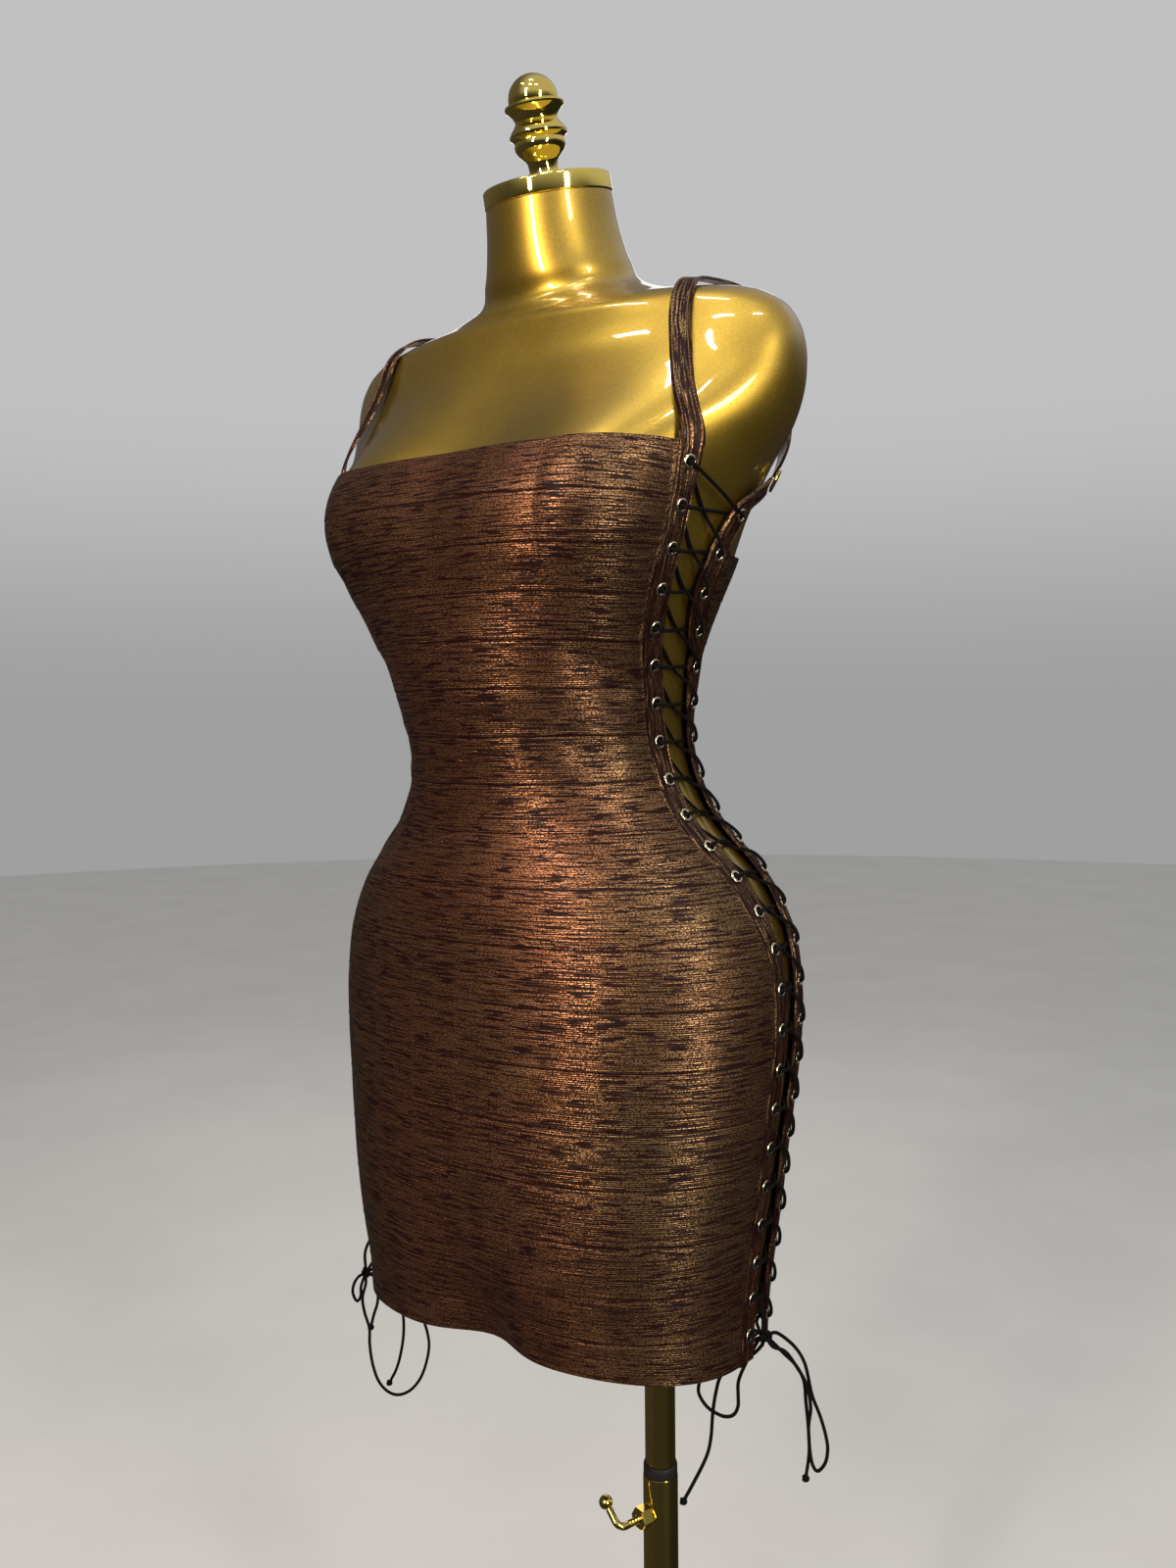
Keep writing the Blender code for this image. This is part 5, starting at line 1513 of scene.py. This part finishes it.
class DRESS_OT_stand(bpy.types.Operator):
    """The base plate, flange, telescopic tubes, collar and clamp"""
    bl_idname = "dress.stand"
    bl_label = "Stand"

    def execute(self, context):
        brass = plated("plated_tube", shaded(settings().brass_colour, 0.86, 0.86, 0.86),
                       TUBE_POLISH)
        plastic = moulded_plastic("moulded_plastic")
        pole = Matrix.Translation(POLE)
        for name, profile, node_name, material, body, label in (
                ("round_base", BASE, "base_plate", brass, "stand", "brass_stand"),
                ("base_flange", FLANGE, "pole_flange", brass, "stand", "brass_stand"),
                ("outer_tube", LOWER_TUBE, "lower_tube", brass, "stand", "brass_stand"),
                ("black_collar", COLLAR, "collar_ring", plastic, "stand", "black_plastic"),
                ("inner_tube", UPPER_TUBE, "upper_tube", brass, "mast", "brass_stand")):
            steps, place = (128, Matrix()) if profile is BASE else (64, pole)
            add_object(name, turned_mesh(name, profile, steps, place), material, [node_name],
                       body)
        self.add_nut(brass)
        self.add_screw(brass)
        return {"FINISHED"}

    def add_nut(self, brass):
        """The hexagon nut on the side of the outer tube."""
        way = CLAMP_WAY.to_track_quat("Z", "Y").to_matrix().to_4x4()
        middle = POLE + Vector((0, 0, CLAMP_Z * MM)) + (LOWER_RADIUS + FIT) * MM * CLAMP_WAY
        data = bmesh.new()
        rings = []
        for corner, greatest, height in NUT_ROWS:
            ring = []
            for degrees in range(0, 360, 10):
                turn = math.radians(degrees)
                flat = math.cos(math.radians(30)) / math.cos(math.radians(degrees % 60 - 30))
                radius = min(corner * flat, greatest)
                ring.append(data.verts.new(Vector((radius * math.cos(turn),
                                                   radius * math.sin(turn), height)) * MM))
            rings.append(ring)
        for low, high in zip(rings, rings[1:] + rings[:1]):
            for i in range(len(low)):
                k = (i + 1) % len(low)
                data.faces.new((low[i], low[k], high[k], high[i]))
        data.transform(Matrix.Translation(middle) @ way)
        nut = soften(new_mesh("nut", data, outward=True), 18)
        add_object("hexagon_nut", nut, brass, ["clamp_nut"], "stand")

    def add_screw(self, brass):
        """The threaded rod with its bent handle and ball end."""
        middle = POLE / MM + Vector((0, 0, CLAMP_Z))
        sideways = CLAMP_WAY.cross(Vector((0, 0, 1))).normalized()
        lean = math.radians(HANDLE_LEAN)
        rise = math.cos(lean) * Vector((0, 0, 1)) + math.sin(lean) * sideways
        corner = middle + SCREW_REACH * CLAMP_WAY
        start = corner - HANDLE_BEND * CLAMP_WAY
        ball = corner + HANDLE_LENGTH * rise
        route = [middle + (UPPER_RADIUS + FIT) * CLAMP_WAY, start]
        for degrees in range(15, 91, 15):
            turn = math.radians(degrees)
            route.append(start + HANDLE_BEND * (math.sin(turn) * CLAMP_WAY
                                                + (1 - math.cos(turn)) * rise))
        points = even_points(route + [ball], SCREW_STEP)
        total = chain_length(points)

        def radius_at(run, turn):
            """The rod's radius: thread up to the bend, and none left inside the ball."""
            off = total - run
            if off < BALL_RADIUS:
                return math.sqrt(max(0.0, BALL_RADIUS ** 2 - off ** 2))
            threaded = float(ease((run - 0.5) / 0.6) * ease((THREAD_END - run) / 0.6))
            thread = 0.26 * math.cos(2 * math.pi * run / THREAD_PITCH - turn) - 0.1
            return SCREW_RADIUS - 0.06 + threaded * thread

        rings, _ = rings_along(points, radius_at, 18)
        data = bmesh.new()
        data.from_mesh(mesh_from_rings("shaft", rings[:-1]))
        bmesh.ops.create_uvsphere(data, u_segments=32, v_segments=20,
                                  radius=BALL_RADIUS * MM,
                                  matrix=Matrix.Translation(ball * MM))
        screw = soften(new_mesh("screw", data, outward=True), 50)
        add_object("threaded_clamp", screw, brass, ["clamp_screw"], "clamp")


class DRESS_PT_panel(bpy.types.Panel):
    """Sizes, colours and pieces of the dress"""
    bl_idname = "DRESS_PT_panel"
    bl_label = "Laced Dress"
    bl_space_type = "VIEW_3D"
    bl_region_type = "UI"
    bl_category = "Dress"

    def draw(self, context):
        for label in DressSettings.__annotations__:
            self.layout.prop(settings(), label)
        for piece in PIECES:
            self.layout.operator(piece.bl_idname)


PIECES = (DRESS_OT_stage, DRESS_OT_lacing, DRESS_OT_form, DRESS_OT_neck, DRESS_OT_panels,
          DRESS_OT_bands, DRESS_OT_eyelets, DRESS_OT_stitches, DRESS_OT_rings,
          DRESS_OT_stand)
CLASSES = (DressSettings, *PIECES, DRESS_PT_panel)


def register():
    for item in CLASSES:
        bpy.utils.register_class(item)
    bpy.types.Scene.dress_settings = bpy.props.PointerProperty(type=DressSettings)


def unregister():
    del bpy.types.Scene.dress_settings
    for item in reversed(CLASSES):
        bpy.utils.unregister_class(item)


def main():
    """Register the classes and make every piece in order."""
    register()
    for piece in PIECES:
        section, _, name = piece.bl_idname.partition(".")
        getattr(getattr(bpy.ops, section), name)()


if __name__ == "__main__":
    main()
